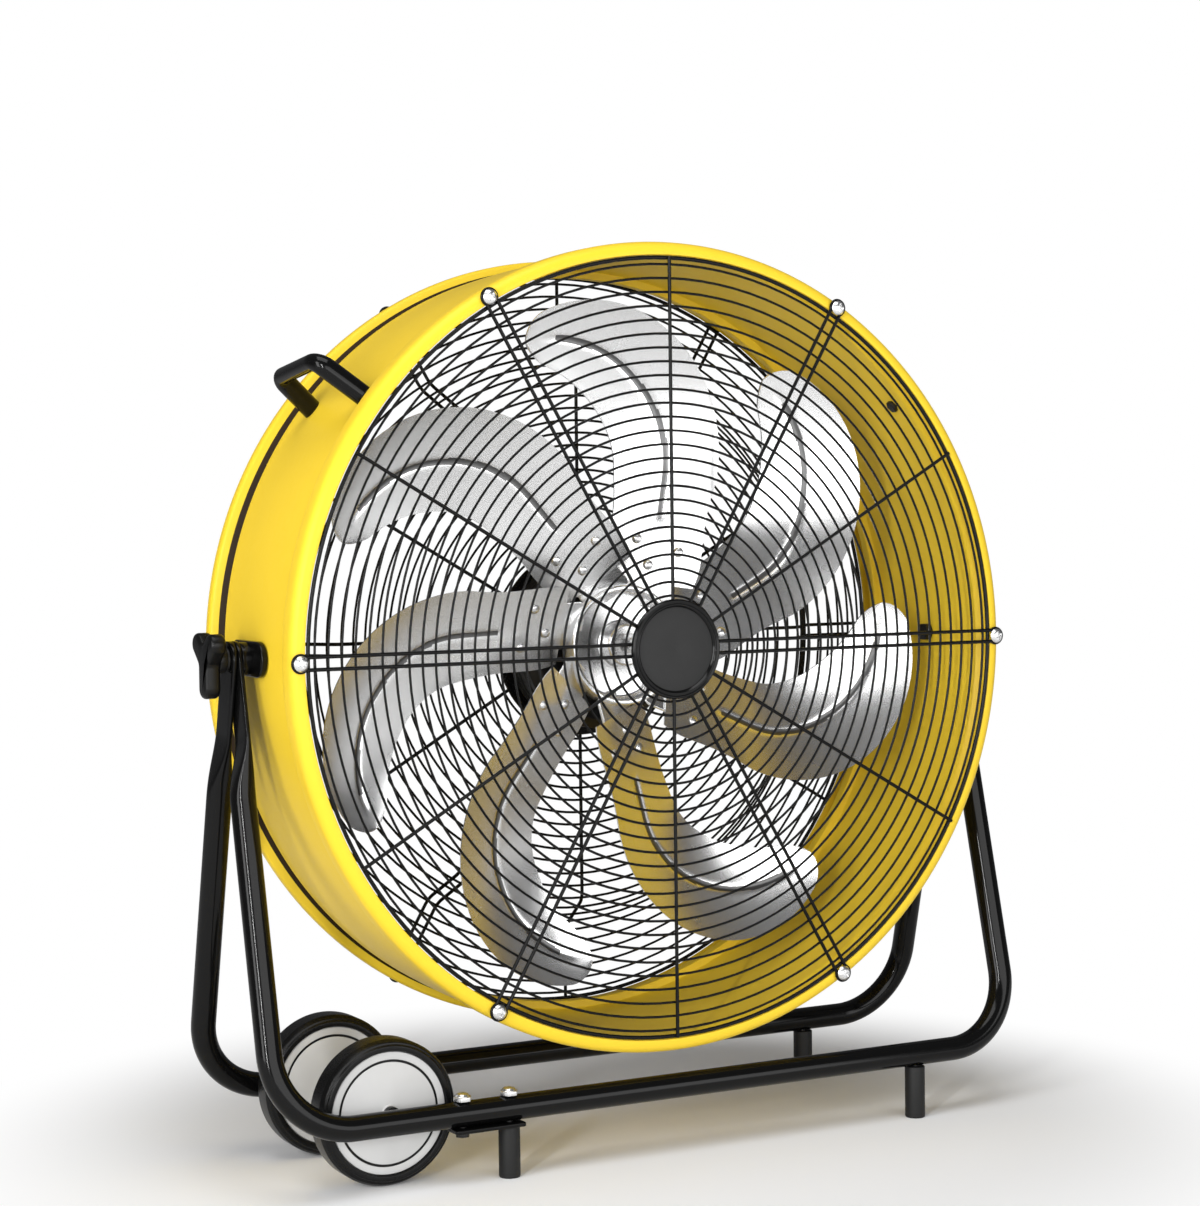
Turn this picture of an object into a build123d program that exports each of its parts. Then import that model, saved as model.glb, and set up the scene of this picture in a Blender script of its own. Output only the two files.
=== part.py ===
from build123d import *
from math import cos, degrees, hypot, radians, sin
import os

os.makedirs("parts", exist_ok=True)

# Tilting drum fan on a tube stand.  Millimetres, +X right as seen from the
# outlet side, the outlet looks along -Y, +Z up, origin on the floor below the
# middle of the object.

# ---- driving dimensions ----------------------------------------------------
clearance = 0.3          # between pieces that only lie against each other
running_fit = 0.05       # radial play of anything that turns on a pin

drum_r = 325.0           # outside of the two rolled rims
drum_half = 96.0         # half of the drum's depth
floor_gap = 83.0         # below the drum
drum_axis_z = drum_r + floor_gap    # height of the fan axis and of the tilt axis
sheet = 1.6              # sheet metal of the drum
rim_step = 5.0           # the body is this much smaller than the rims
body_r = drum_r - rim_step
rim_band = 20.0          # width of each rolled rim
flange = 11.0            # width of the end flanges
groove_w = 11.0          # deep groove in front of the rear rim
groove_deep = 13.5

handle_angle = 142.0     # up and to the left, seen from the front
handle_front_y = -62.0
handle_rear_y = 30.0
handle_arm_r = 8.0
handle_tall = 54.0       # above the drum's body
grip_r = 7.5
grip_drop = 12.0         # grip axis below the arms' ends
wall_bolt_angle = 38.7   # lone bolt in the drum wall
wall_bolt_y = -50.0
bolt_r = 3.0
bolt_head_r = 5.8
bolt_head = 4.0

screw_inset = 6.5        # guard screws sit on the end flanges
screw_circle = drum_r - screw_inset
spoke_count = 6          # double spokes, with a single one half way between
wire = 3.0
ring_wire = 2.8
pair_gap = 9.5           # between the two wires of a double spoke
ring_sides = 24
ring_pitch = 10.9        # finger-safe spacing
guard_r = screw_circle - 6.7        # heavy outer ring of a guard
last_ring = guard_r - 5.2           # thin ring close inside it
eyelet_r = 7.7
screw_r = 3.0
screw_head_r = 6.0
recess_depth = 33.3      # the flat middle of the rear guard is set into the drum
recess_out = guard_r - 60.8
recess_in = recess_out - 29.0
cap_r = 40.0
cap_disc_r = 34.0

blade_count = 7
blade_reach = 263.0      # radius of the blade tips
fan_y = -10.0            # middle plane of the blades
blade_sheet = 1.6
root_pitch = 28.0        # blade angle at the hub, less at the tip
tip_pitch = 18.0
blade_fold = 4.0         # depth of the camber
hub_r = 50.0
hub_wall = 5.0
hub_depth = 22.0
arm_w = 44.0
arm_sheet = 2.5
shaft_r = 6.0

motor_r = 72.0
motor_front = 16.0
plate_r = 80.0
plate_thick = 2.7
motor_bolt_circle = 64.0
motor_bolt_r = 2.7
box_w = 86.0
box_h = 64.0
box_depth = 23.5
knob_r = 17.0
spindle_r = 3.0
gland_r = 6.0

tube_r = 10.0
tube_z = 54.0            # height of the two base tubes
tube_y = drum_half - 8   # and their distance before and behind the middle
leg_gap = 4.0            # from the drum's rims to the legs
leg_x = drum_r + leg_gap + tube_r
bend_r = 62.0
eye_r = 14.0             # flattened leg ends
eye_thick = 4.0
flat_end = 60.0          # along the leg, from the pivot to the round tube
round_from = 112.0
pivot_r = 4.0
boss_x = drum_r + 7      # outer face of the pivot brackets
saddle_long = 70.0
saddle_wide = 28.0
saddle_thick = 5.0
washer_r = 10.0          # between the legs and the clamping knobs
washer_thick = 2.0
knob_boss = 6.0
lobe_w = 17.0
lobe_thick = 13.0
lobe_down = 30.0         # reach of the lower lobe, and of the two upper ones
lobe_up = 27.0
lobe_up_angle = 40.0

wheel_r = 57.0
wheel_w = 28.0
wheel_x = 99 - leg_x
wheel_y = tube_y - 32
disc_r = 47.5
axle_r = 4.5
foot_r = 8.5
foot_left = 192 - leg_x
foot_right = leg_x - 101
plate_bolt = foot_left - 40     # second bolt of the plates beside the wheels
foot_plate_thick = 3.0
nut_tall = 4.5           # six-sided part of the domed nuts

# ---- shared axes, planes and helpers ---------------------------------------
drum_axis = Axis((0, 0, drum_axis_z), (0, 1, 0))
# Seen from the outlet: local x is +X, local y is +Z, local z comes forward.
front_view = Plane(origin=(0, 0, drum_axis_z), x_dir=(1, 0, 0), z_dir=(0, -1, 0))
# Half section of everything round: local x is the radius, local y is +Y.
section = Plane(origin=(0, 0, drum_axis_z), x_dir=(1, 0, 0), z_dir=(0, 0, 1))
side_view = Plane(origin=(0, 0, drum_axis_z), x_dir=(0, 1, 0), z_dir=(1, 0, 0))


def at_y(y):
    """Front-view plane at this depth."""
    return front_view.offset(-y)


def radial_plane(angle):
    """Local x runs outward at this angle, local y is +Y."""
    a = radians(angle)
    return Plane(origin=(0, 0, drum_axis_z), x_dir=(cos(a), 0, sin(a)), z_dir=(-sin(a), 0, cos(a)))


def on_circle(radius, angle):
    a = radians(angle)
    return (radius * cos(a), radius * sin(a))


def spokes_at(offset=0.0):
    return [offset + i * 360 / spoke_count for i in range(spoke_count)]


def bolt_plane(angle, y, radius):
    """Plane facing outwards at this radius, angle and depth."""
    ray = radial_plane(angle)
    return Plane(origin=ray.from_local_coords((radius, y, 0)), x_dir=ray.y_dir, z_dir=ray.x_dir)


def save(piece, name):
    piece.part.label = name
    export_step(piece.part, f"parts/{name}.step")


# ---- drum ------------------------------------------------------------------
wall_bolts = [
    (handle_angle, handle_front_y),
    (handle_angle, handle_rear_y),
    (wall_bolt_angle, wall_bolt_y),
]
rear_band = drum_half - rim_band
groove_end = rear_band - 1.5
groove_start = groove_end - groove_w
flange_in = drum_r - flange
groove_r = drum_r - groove_deep

with BuildPart() as drum_shell:
    with BuildSketch(section):
        with BuildLine():
            Polyline(
                (flange_in, -drum_half),
                (drum_r, -drum_half),
                (drum_r, -drum_half + rim_band),
                (body_r, -drum_half + rim_band + rim_step),
                (body_r, groove_start),
                (groove_r, groove_start + 1.5),
                (groove_r, groove_end - 1.5),
                (drum_r, rear_band),
                (drum_r, drum_half),
                (flange_in, drum_half),
            )
            offset(amount=sheet, side=Side.LEFT, closed=True)
        wall = make_face()
        chamfer([v for v in wall.vertices() if v.X > drum_r - 0.1 and abs(v.Y) > drum_half - 0.1], 1.2)
    revolve(axis=drum_axis)
    # Guard screws, handle bolts and pivot bolts pass through the sheet.
    for y in (-drum_half, drum_half - 3):
        with BuildSketch(at_y(y)):
            with PolarLocations(screw_circle, spoke_count):
                Circle(screw_r + clearance)
        extrude(amount=-3, mode=Mode.SUBTRACT)
    for angle, y in wall_bolts:
        with BuildSketch(bolt_plane(angle, y, body_r - 5 * sheet)):
            Circle(bolt_r + clearance)
        extrude(amount=10 * sheet, mode=Mode.SUBTRACT)
    with BuildSketch(side_view.offset(-drum_r - 5)):
        Circle(pivot_r + clearance)
    extrude(amount=2 * drum_r + 10, mode=Mode.SUBTRACT)
save(drum_shell, "drum_shell")

handle_bolt_length = handle_tall / 3
with BuildPart() as handle_bolts:
    for y in (handle_front_y, handle_rear_y):
        with BuildSketch(bolt_plane(handle_angle, y, body_r - sheet - clearance)):
            RegularPolygon(bolt_head_r, 6)
        extrude(amount=-bolt_head)
        with BuildSketch(bolt_plane(handle_angle, y, body_r - sheet - clearance)):
            Circle(bolt_r)
        extrude(amount=handle_bolt_length)
save(handle_bolts, "handle_bolts")

with BuildPart() as wall_bolt:
    with BuildSketch(bolt_plane(wall_bolt_angle, wall_bolt_y, body_r - sheet - clearance)):
        RegularPolygon(bolt_head_r, 6)
    extrude(amount=-bolt_head)
    with BuildSketch(bolt_plane(wall_bolt_angle, wall_bolt_y, body_r - sheet - clearance)):
        Circle(bolt_r)
    extrude(amount=sheet + 2 * clearance)
    with BuildSketch(bolt_plane(wall_bolt_angle, wall_bolt_y, body_r + clearance)):
        Circle(bolt_r + 2)
    extrude(amount=2)
save(wall_bolt, "wall_bolt")

# Two round arms and the grip bar between them.
with BuildPart() as carry_handle:
    for y in (handle_front_y, handle_rear_y):
        foot = bolt_plane(handle_angle, y, body_r + clearance)
        with BuildSketch(foot):
            Circle(handle_arm_r)
        extrude(amount=handle_tall - clearance)
        with BuildSketch(foot):
            Circle(bolt_r + clearance)
        extrude(amount=handle_bolt_length, mode=Mode.SUBTRACT)
    grip_x, grip_z = on_circle(body_r + handle_tall - grip_drop, handle_angle)
    with BuildSketch(at_y(handle_front_y)):
        with Locations((grip_x, grip_z)):
            Circle(grip_r)
    extrude(amount=handle_front_y - handle_rear_y)
save(carry_handle, "carry_handle")


# ---- wire guards -----------------------------------------------------------
def wire_rings(radii, y, thick):
    """Rings of square wire, from y towards the rear, largest first."""
    with BuildSketch(at_y(y)) as rings:
        for radius in sorted(radii, reverse=True):
            RegularPolygon(radius + thick / 2, ring_sides, rotation=180 / ring_sides)
            RegularPolygon(radius - thick / 2, ring_sides, rotation=180 / ring_sides, mode=Mode.SUBTRACT)
    extrude(rings.sketch, amount=-thick)


def ring_radii(first, last):
    """Radii from first to last, evenly spaced, about one ring pitch apart."""
    steps = max(1, round((last - first) / ring_pitch))
    return [first + i * (last - first) / steps for i in range(steps + 1)]


def wire_spoke(points, angle, side_shift):
    """Wire whose front side follows these points of radius and depth."""
    outline = points + [(radius, y + wire) for radius, y in reversed(points)]
    with BuildSketch(radial_plane(angle).offset(side_shift)) as bar:
        with BuildLine():
            Polyline(*outline, close=True)
        make_face()
    extrude(bar.sketch, amount=wire / 2, both=True)


def guard_spokes(middle, y):
    """Double spokes to the screws, single ones to the outer ring."""
    for angle in spokes_at():
        for side in (-1, 1):
            wire_spoke(middle + [(screw_circle - 4.5, y)], angle, side * pair_gap / 2)
    for angle in spokes_at(30):
        wire_spoke(middle + [(guard_r + 1, y)], angle, 0)


def eyelets(y):
    """Loops round the guard screws at the ends of the double spokes."""
    with BuildSketch(at_y(y)) as loops:
        with PolarLocations(screw_circle, spoke_count):
            Circle(eyelet_r)
            Circle(screw_r + clearance, mode=Mode.SUBTRACT)
    extrude(loops.sketch, amount=-wire)


front_wire_y = -drum_half - clearance - wire
rear_wire_y = drum_half + clearance
recess_y = rear_wire_y - recess_depth
spoke_start = cap_r - 6

with BuildPart() as front_grille:
    guard_spokes([(spoke_start, front_wire_y)], front_wire_y)
    wire_rings(ring_radii(cap_r + 2.5, last_ring), front_wire_y + wire, ring_wire)
    wire_rings([guard_r], front_wire_y + wire, wire)
    eyelets(front_wire_y)
save(front_grille, "front_grille")

with BuildPart() as rear_grille:
    guard_spokes([(spoke_start, recess_y), (recess_in, recess_y), (recess_out, rear_wire_y)], rear_wire_y)
    wire_rings(ring_radii(plate_r + 3.5, recess_in - 2), recess_y - ring_wire, ring_wire)
    for share in (0.25, 0.5, 0.75):
        slope_r = recess_in + share * (recess_out - recess_in)
        wire_rings([slope_r], recess_y + share * recess_depth, ring_wire)
    wire_rings(ring_radii(recess_out + 2, last_ring), rear_wire_y - ring_wire, ring_wire)
    wire_rings([guard_r], rear_wire_y - wire, wire)
    eyelets(rear_wire_y)
save(rear_grille, "rear_grille")


def guard_screws(y, outward):
    """Pan-head screws whose heads sit at y; outward is -1 in front and 1 behind."""
    with BuildSketch(at_y(y)) as shanks:
        with PolarLocations(screw_circle, spoke_count):
            Circle(screw_r)
    extrude(shanks.sketch, amount=outward * 12)
    with BuildSketch(at_y(y)) as heads:
        with PolarLocations(screw_circle, spoke_count):
            Circle(screw_head_r)
    extrude(heads.sketch, amount=-outward * 3, taper=20)


with BuildPart() as front_guard_screws:
    guard_screws(front_wire_y - clearance, -1)
save(front_guard_screws, "front_guard_screws")

with BuildPart() as rear_guard_screws:
    guard_screws(rear_wire_y + wire + clearance, 1)
save(rear_guard_screws, "rear_guard_screws")

cap_back = front_wire_y - clearance
with BuildPart() as cap_ring:
    with BuildSketch(section):
        with BuildLine():
            Polyline(
                (cap_disc_r + clearance, cap_back),
                (cap_r, cap_back),
                (cap_r, cap_back - 3.5),
                (cap_r - 2, cap_back - 5.5),
                (cap_disc_r + clearance, cap_back - 4.5),
                close=True,
            )
        make_face()
    revolve(axis=drum_axis)
save(cap_ring, "cap_ring")

with BuildPart() as cap_disc:
    with BuildSketch(at_y(cap_back)):
        Circle(cap_disc_r)
    extrude(amount=3.5)
save(cap_disc, "cap_disc")

# ---- motor -----------------------------------------------------------------
plate_front = recess_y - clearance - plate_thick
motor_rear = plate_front - clearance
bolt_seat_y = recess_y + wire + clearance

with BuildPart() as motor_housing:
    with BuildSketch(section):
        with BuildLine():
            Polyline(
                (0, motor_rear),
                (motor_r - 4, motor_rear),
                (motor_r, motor_rear - 4),
                (motor_r, motor_front + 8),
                (motor_r - 8, motor_front),
                (4 * shaft_r, motor_front),
                (3.5 * shaft_r, motor_front - 4),
                (0, motor_front - 4),
                close=True,
            )
        make_face()
    revolve(axis=drum_axis)
    with BuildSketch(at_y(motor_front - 5)):
        Circle(shaft_r + running_fit)
    extrude(amount=-30, mode=Mode.SUBTRACT)
    with BuildSketch(at_y(motor_rear)):
        with PolarLocations(motor_bolt_circle, spoke_count):
            Circle(motor_bolt_r + clearance)
    extrude(amount=14, mode=Mode.SUBTRACT)
save(motor_housing, "motor_housing")

with BuildPart() as motor_plate:
    with BuildSketch(at_y(plate_front)):
        Circle(plate_r)
        with PolarLocations(motor_bolt_circle, spoke_count):
            Circle(motor_bolt_r + clearance, mode=Mode.SUBTRACT)
    extrude(amount=-plate_thick)
save(motor_plate, "motor_plate")

# The motor hangs on bolts between the wires of the double spokes.
with BuildPart() as motor_bolts:
    with BuildSketch(at_y(bolt_seat_y)):
        with PolarLocations(motor_bolt_circle, spoke_count):
            Circle(motor_bolt_r)
    extrude(amount=wire + plate_thick + 12)
    with BuildSketch(at_y(bolt_seat_y)):
        with PolarLocations(motor_bolt_circle, spoke_count):
            RegularPolygon(pair_gap, 6)
    extrude(amount=-4)
save(motor_bolts, "motor_bolts")

box_bottom = drum_axis_z - box_h / 2
gland_plane = Plane(origin=(0, bolt_seat_y + box_depth / 2, box_bottom), z_dir=(0, 0, -1))

with BuildPart() as switch_box:
    with BuildSketch(at_y(bolt_seat_y)):
        RectangleRounded(box_w, box_h, 5)
    extrude(amount=-box_depth)
    with BuildSketch(at_y(bolt_seat_y + box_depth)):
        Circle(spindle_r + running_fit)
    extrude(amount=10, mode=Mode.SUBTRACT)
    with BuildSketch(gland_plane):
        Circle(gland_r + clearance)
    extrude(amount=-8, mode=Mode.SUBTRACT)
save(switch_box, "switch_box")

with BuildPart() as speed_knob:
    with BuildSketch(at_y(bolt_seat_y + box_depth + clearance)):
        Circle(knob_r)
    extrude(amount=-12)
    with BuildSketch(at_y(bolt_seat_y + box_depth + clearance + 12)):
        Rectangle(7, 2 * knob_r - 4)
    extrude(amount=-3)
    with BuildSketch(at_y(bolt_seat_y + box_depth + clearance)):
        Circle(spindle_r)
    extrude(amount=9)
save(speed_knob, "speed_knob")

with BuildPart() as cord_gland:
    with BuildSketch(gland_plane.offset(clearance)):
        Circle(gland_r)
    extrude(amount=-7)
    with BuildSketch(gland_plane.offset(clearance)):
        RegularPolygon(9, 6)
    extrude(amount=5)
    with BuildSketch(gland_plane.offset(clearance + 5)):
        Circle(7)
    extrude(amount=7)
    with BuildSketch(gland_plane.offset(20)):
        Circle(3.5)
    extrude(amount=-30, mode=Mode.SUBTRACT)
save(cord_gland, "cord_gland")

# ---- fan -------------------------------------------------------------------
hub_front = fan_y - 10
hub_back = hub_front + hub_depth
with BuildPart() as motor_shaft:
    with BuildSketch(at_y(hub_front - 8)):
        Circle(shaft_r)
    extrude(amount=-(motor_front + 20 - hub_front + 8))
save(motor_shaft, "motor_shaft")

# Middle line of the first blade, seen from the outlet: straight, then an arc.
fan_view = at_y(fan_y)
blade_root = Vector(*on_circle(0.218 * blade_reach, 60.8))
blade_knee = Vector(*on_circle(0.557 * blade_reach, 72.9))
straight_run = (blade_knee - blade_root).normalized()
arc_r = 0.369 * blade_reach
arc_turn = 108.0
arc_middle = blade_knee + Vector(-straight_run.Y, straight_run.X) * arc_r
# Where along the line (the arc runs from 0 to 1), width as seen from the front
# as a share of the reach, and share of the full camber.
blade_sections = [
    (-1.0, 0.236, 0.02),
    (-0.55, 0.259, 0.02),
    (0.0, 0.289, 0.5),
    (0.3, 0.312, 1),
    (0.58, 0.297, 1),
    (0.84, 0.198, 0.7),
    (1.0, 0.061, 0.1),
]


def blade_line(share):
    """Point and direction of the middle line; below zero runs down to the root."""
    if share <= 0:
        return blade_knee + (blade_knee - blade_root) * share, straight_run
    turn = share * arc_turn
    return (
        arc_middle + (blade_knee - arc_middle).rotate(Axis.Z, turn),
        straight_run.rotate(Axis.Z, turn),
    )


def blade_plane(share, turn):
    """Local x towards the leading edge, local y to the outlet side."""
    point, run = blade_line(share)
    pitch = root_pitch + (tip_pitch - root_pitch) * max(share, 0)
    lead = Vector(-run.Y, run.X) * cos(radians(pitch)) - Vector(0, 0, 1) * sin(radians(pitch))
    point, run, lead = (v.rotate(Axis.Z, turn) for v in (point, run, lead))
    across = fan_view.x_dir * lead.X + fan_view.y_dir * lead.Y + fan_view.z_dir * lead.Z
    along = fan_view.x_dir * run.X + fan_view.y_dir * run.Y
    return Plane(origin=fan_view.from_local_coords(point), x_dir=across, z_dir=along), pitch


def blade_turns():
    return [i * 360 / blade_count for i in range(blade_count)]


for number, turn in enumerate(blade_turns(), start=1):
    with BuildPart() as blade:
        for share, seen_width, camber in blade_sections:
            plane, pitch = blade_plane(share, turn)
            half = seen_width * blade_reach / cos(radians(pitch)) / 2
            fold = blade_fold * camber
            with BuildSketch(plane):
                with BuildLine():
                    Polyline(
                        (-half, 0),
                        (-half / 3, -fold),
                        (half / 3, -fold),
                        (half, 0),
                        (half, blade_sheet),
                        (half / 3, blade_sheet - fold),
                        (-half / 3, blade_sheet - fold),
                        (-half, blade_sheet),
                        close=True,
                    )
                make_face()
        loft(ruled=True)
    save(blade, f"blade_{number}")

# Hub cup with one pitched arm behind each blade.
arm_out = (blade_knee - blade_root).length * 0.42
arm_in = blade_root.length - 0.7 * hub_r
with BuildPart() as fan_hub:
    with BuildSketch(at_y(hub_front)):
        Circle(hub_r)
    extrude(amount=-(hub_back - hub_front))
    for turn in blade_turns():
        plane, pitch = blade_plane(-1.0, turn)
        with BuildSketch(plane):
            with Locations((0, -clearance)):
                Rectangle(arm_w, arm_sheet, align=(Align.CENTER, Align.MAX))
        extrude(amount=arm_out)
        with BuildSketch(plane):
            with Locations((0, -clearance)):
                Rectangle(arm_w, arm_sheet, align=(Align.CENTER, Align.MAX))
        extrude(amount=-arm_in)
    with BuildSketch(at_y(hub_front)):
        Circle(hub_r - hub_wall)
        Circle(3 * shaft_r, mode=Mode.SUBTRACT)
    extrude(amount=-hub_depth / 2, mode=Mode.SUBTRACT)
    with BuildSketch(at_y(hub_front - 1)):
        Circle(shaft_r + clearance)
    extrude(amount=-(hub_back - hub_front + 2), mode=Mode.SUBTRACT)
save(fan_hub, "fan_hub")

with BuildPart() as hub_nut:
    with BuildSketch(at_y(hub_front - clearance)):
        RegularPolygon(11, 6)
        Circle(shaft_r + clearance, mode=Mode.SUBTRACT)
    extrude(amount=6)
save(hub_nut, "hub_nut")

# ---- pivots ----------------------------------------------------------------
saddle_x = body_r + clearance
with BuildPart() as pivot_bracket_right:
    with BuildSketch(side_view.offset(saddle_x)):
        SlotOverall(saddle_long, saddle_wide)
    extrude(amount=saddle_thick)
    with BuildSketch(side_view.offset(saddle_x)):
        Circle(saddle_wide / 2 - 1)
    extrude(amount=boss_x - saddle_x)
    with BuildSketch(side_view.offset(saddle_x)):
        Circle(pivot_r + clearance)
    extrude(amount=boss_x - saddle_x, mode=Mode.SUBTRACT)
save(pivot_bracket_right, "pivot_bracket_right")

# The stud turns in the leg ends and carries the clamping knob.
stack_x = boss_x + 2 * (eye_thick + clearance)
knob_x = stack_x + washer_thick + 2 * clearance
head_x = body_r - sheet - clearance
with BuildPart() as pivot_bolt_right:
    with BuildSketch(side_view.offset(head_x)):
        RegularPolygon(8, 6)
    extrude(amount=-6)
    with BuildSketch(side_view.offset(head_x)):
        Circle(pivot_r)
    extrude(amount=knob_x + knob_boss + lobe_thick - 4 - head_x)
save(pivot_bolt_right, "pivot_bolt_right")

with BuildPart() as tilt_knob_right:
    with BuildSketch(side_view.offset(knob_x)):
        Circle(11)
    extrude(amount=knob_boss)
    with BuildSketch(side_view.offset(knob_x + knob_boss - 1)):
        for angle, reach in ((-90, lobe_down), (lobe_up_angle, lobe_up), (180 - lobe_up_angle, lobe_up)):
            tip = Vector(*on_circle(reach - lobe_w / 2, angle))
            SlotCenterPoint(tip / 2, tip, lobe_w)
    extrude(amount=lobe_thick)
    with BuildSketch(side_view.offset(knob_x)):
        Circle(pivot_r + running_fit)
    extrude(amount=knob_boss + lobe_thick - 3, mode=Mode.SUBTRACT)
save(tilt_knob_right, "tilt_knob_right")

# Washers on both studs, between the legs and the knobs.
with BuildPart() as knob_washers:
    for end in (-1, 1):
        with BuildSketch(side_view.offset(end * (stack_x + clearance))):
            Circle(washer_r)
            Circle(pivot_r + clearance, mode=Mode.SUBTRACT)
        extrude(amount=end * washer_thick)
save(knob_washers, "knob_washers")

with BuildPart() as pivot_bracket_left:
    mirror(pivot_bracket_right.part, about=Plane.YZ)
save(pivot_bracket_left, "pivot_bracket_left")

with BuildPart() as pivot_bolt_left:
    mirror(pivot_bolt_right.part, about=Plane.YZ)
save(pivot_bolt_left, "pivot_bolt_left")

with BuildPart() as tilt_knob_left:
    mirror(tilt_knob_right.part, about=Plane.YZ)
save(tilt_knob_left, "tilt_knob_left")

# ---- stand -----------------------------------------------------------------
leg_drop = drum_axis_z - tube_z
leg_length = hypot(leg_drop, tube_y)


def frame_plane(side):
    """Plane of one leg frame: local x is +X, local y runs down the legs."""
    return Plane(
        origin=(0, 0, drum_axis_z),
        x_dir=(1, 0, 0),
        z_dir=(0, leg_drop / leg_length, side * tube_y / leg_length),
    )


def leg_frame(side, eye_x):
    """One bent tube whose flattened ends start at eye_x; side is -1 in front."""
    frame = frame_plane(side)
    with BuildLine(frame) as route:
        FilletPolyline(
            (-leg_x, round_from),
            (-leg_x, leg_length),
            (leg_x, leg_length),
            (leg_x, round_from),
            radius=bend_r,
        )
    with BuildSketch(Plane(origin=route.line @ 0, z_dir=route.line % 0)) as tube:
        Circle(tube_r)
    sweep(tube.sketch, path=route.line)
    for end in (-1, 1):
        flat_x = end * (eye_x + eye_thick / 2)
        pressed = Plane(
            origin=frame.from_local_coords((flat_x, flat_end, 0)),
            x_dir=(1, 0, 0),
            z_dir=-frame.y_dir,
        )
        full = Plane(
            origin=frame.from_local_coords((end * leg_x, round_from, 0)),
            x_dir=(1, 0, 0),
            z_dir=-frame.y_dir,
        )
        with BuildSketch(full) as round_end:
            Circle(tube_r)
        with BuildSketch(pressed) as flat_end_face:
            Rectangle(eye_thick, 2 * eye_r)
        loft(Sketch() + [round_end.sketch, flat_end_face.sketch])
        eye = Plane(origin=(end * eye_x, 0, drum_axis_z), x_dir=frame.y_dir, z_dir=(end, 0, 0))
        with BuildSketch(eye) as plate:
            Circle(eye_r)
            Rectangle(flat_end, 2 * eye_r, align=(Align.MIN, Align.CENTER))
            Circle(pivot_r + running_fit, mode=Mode.SUBTRACT)
        extrude(plate.sketch, amount=eye_thick)
    # Blind hole for the wheel axle, in the tube's inner side.
    with BuildSketch(Plane(origin=(wheel_x, side * (tube_y - 3), wheel_r), z_dir=(0, -side, 0))) as hole:
        Circle(axle_r + clearance)
    extrude(hole.sketch, amount=10, mode=Mode.SUBTRACT)
    # Bolts of the wheel-side plate, and the stud of the single foot.
    low = Plane(origin=(0, side * tube_y, tube_z - tube_r - 1), z_dir=(0, 0, 1))
    with BuildSketch(low) as bolts:
        with Locations((foot_left, 0), (plate_bolt, 0)):
            Circle(bolt_r + clearance)
    extrude(bolts.sketch, amount=2 * tube_r + 2, mode=Mode.SUBTRACT)
    with BuildSketch(low) as stud:
        with Locations((foot_right, 0)):
            Circle(bolt_r + clearance)
    extrude(stud.sketch, amount=13, mode=Mode.SUBTRACT)


with BuildPart() as front_frame:
    leg_frame(-1, boss_x + clearance)
save(front_frame, "front_frame")

with BuildPart() as rear_frame:
    leg_frame(1, boss_x + 2 * clearance + eye_thick)
save(rear_frame, "rear_frame")

# ---- wheels ----------------------------------------------------------------
def across(y):
    """Plane square to the axle at this depth, facing +Y."""
    return Plane(origin=(wheel_x, y, wheel_r), x_dir=(1, 0, 0), z_dir=(0, 1, 0))


axle_half = tube_y - 4
with BuildPart() as wheel_axle:
    with BuildSketch(across(-axle_half)):
        Circle(axle_r)
    extrude(amount=2 * axle_half)
save(wheel_axle, "wheel_axle")

sleeve_half = wheel_y - wheel_w / 2 - clearance
collar_start = wheel_y + wheel_w / 2 + clearance
with BuildPart() as axle_sleeves:
    for y, length in (
        (-sleeve_half, 2 * sleeve_half),
        (collar_start, 6),
        (-collar_start - 6, 6),
    ):
        with BuildSketch(across(y)):
            Circle(7)
            Circle(axle_r + clearance, mode=Mode.SUBTRACT)
        extrude(amount=length)
save(axle_sleeves, "axle_sleeves")

for name, y in (("front", -wheel_y), ("rear", wheel_y)):
    with BuildPart() as tyre:
        with BuildSketch(across(y - wheel_w / 2)):
            Circle(wheel_r)
            Circle(disc_r + clearance, mode=Mode.SUBTRACT)
        extrude(amount=wheel_w)
        chamfer(tyre.edges().filter_by(GeomType.CIRCLE).group_by(SortBy.RADIUS)[-1], 3)
    save(tyre, f"tyre_{name}")
    with BuildPart() as disc:
        with BuildSketch(across(y - wheel_w / 2 + 2)):
            Circle(disc_r)
            Circle(axle_r + running_fit, mode=Mode.SUBTRACT)
        extrude(amount=wheel_w - 4)
        with BuildSketch(across(y - wheel_w / 2)):
            Circle(8)
            Circle(axle_r + running_fit, mode=Mode.SUBTRACT)
        extrude(amount=wheel_w)
    save(disc, f"wheel_disc_{name}")

# ---- feet ------------------------------------------------------------------
plate_top = tube_z - tube_r - clearance
plate_middle = (foot_left + plate_bolt) / 2


def bolts_at(x, low, high):
    """Shanks on both base tubes."""
    with BuildSketch(Plane.XY.offset(low)) as shanks:
        with Locations((x, -tube_y), (x, tube_y)):
            Circle(bolt_r)
    extrude(shanks.sketch, amount=high - low)


def foot_bodies(x, top):
    with BuildSketch(Plane.XY) as pads:
        with Locations((x, -tube_y), (x, tube_y)):
            Circle(foot_r)
    extrude(pads.sketch, amount=top)
    with BuildSketch(Plane.XY.offset(top - 20)) as sockets:
        with Locations((x, -tube_y), (x, tube_y)):
            Circle(bolt_r + clearance)
    extrude(sockets.sketch, amount=20, mode=Mode.SUBTRACT)


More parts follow.
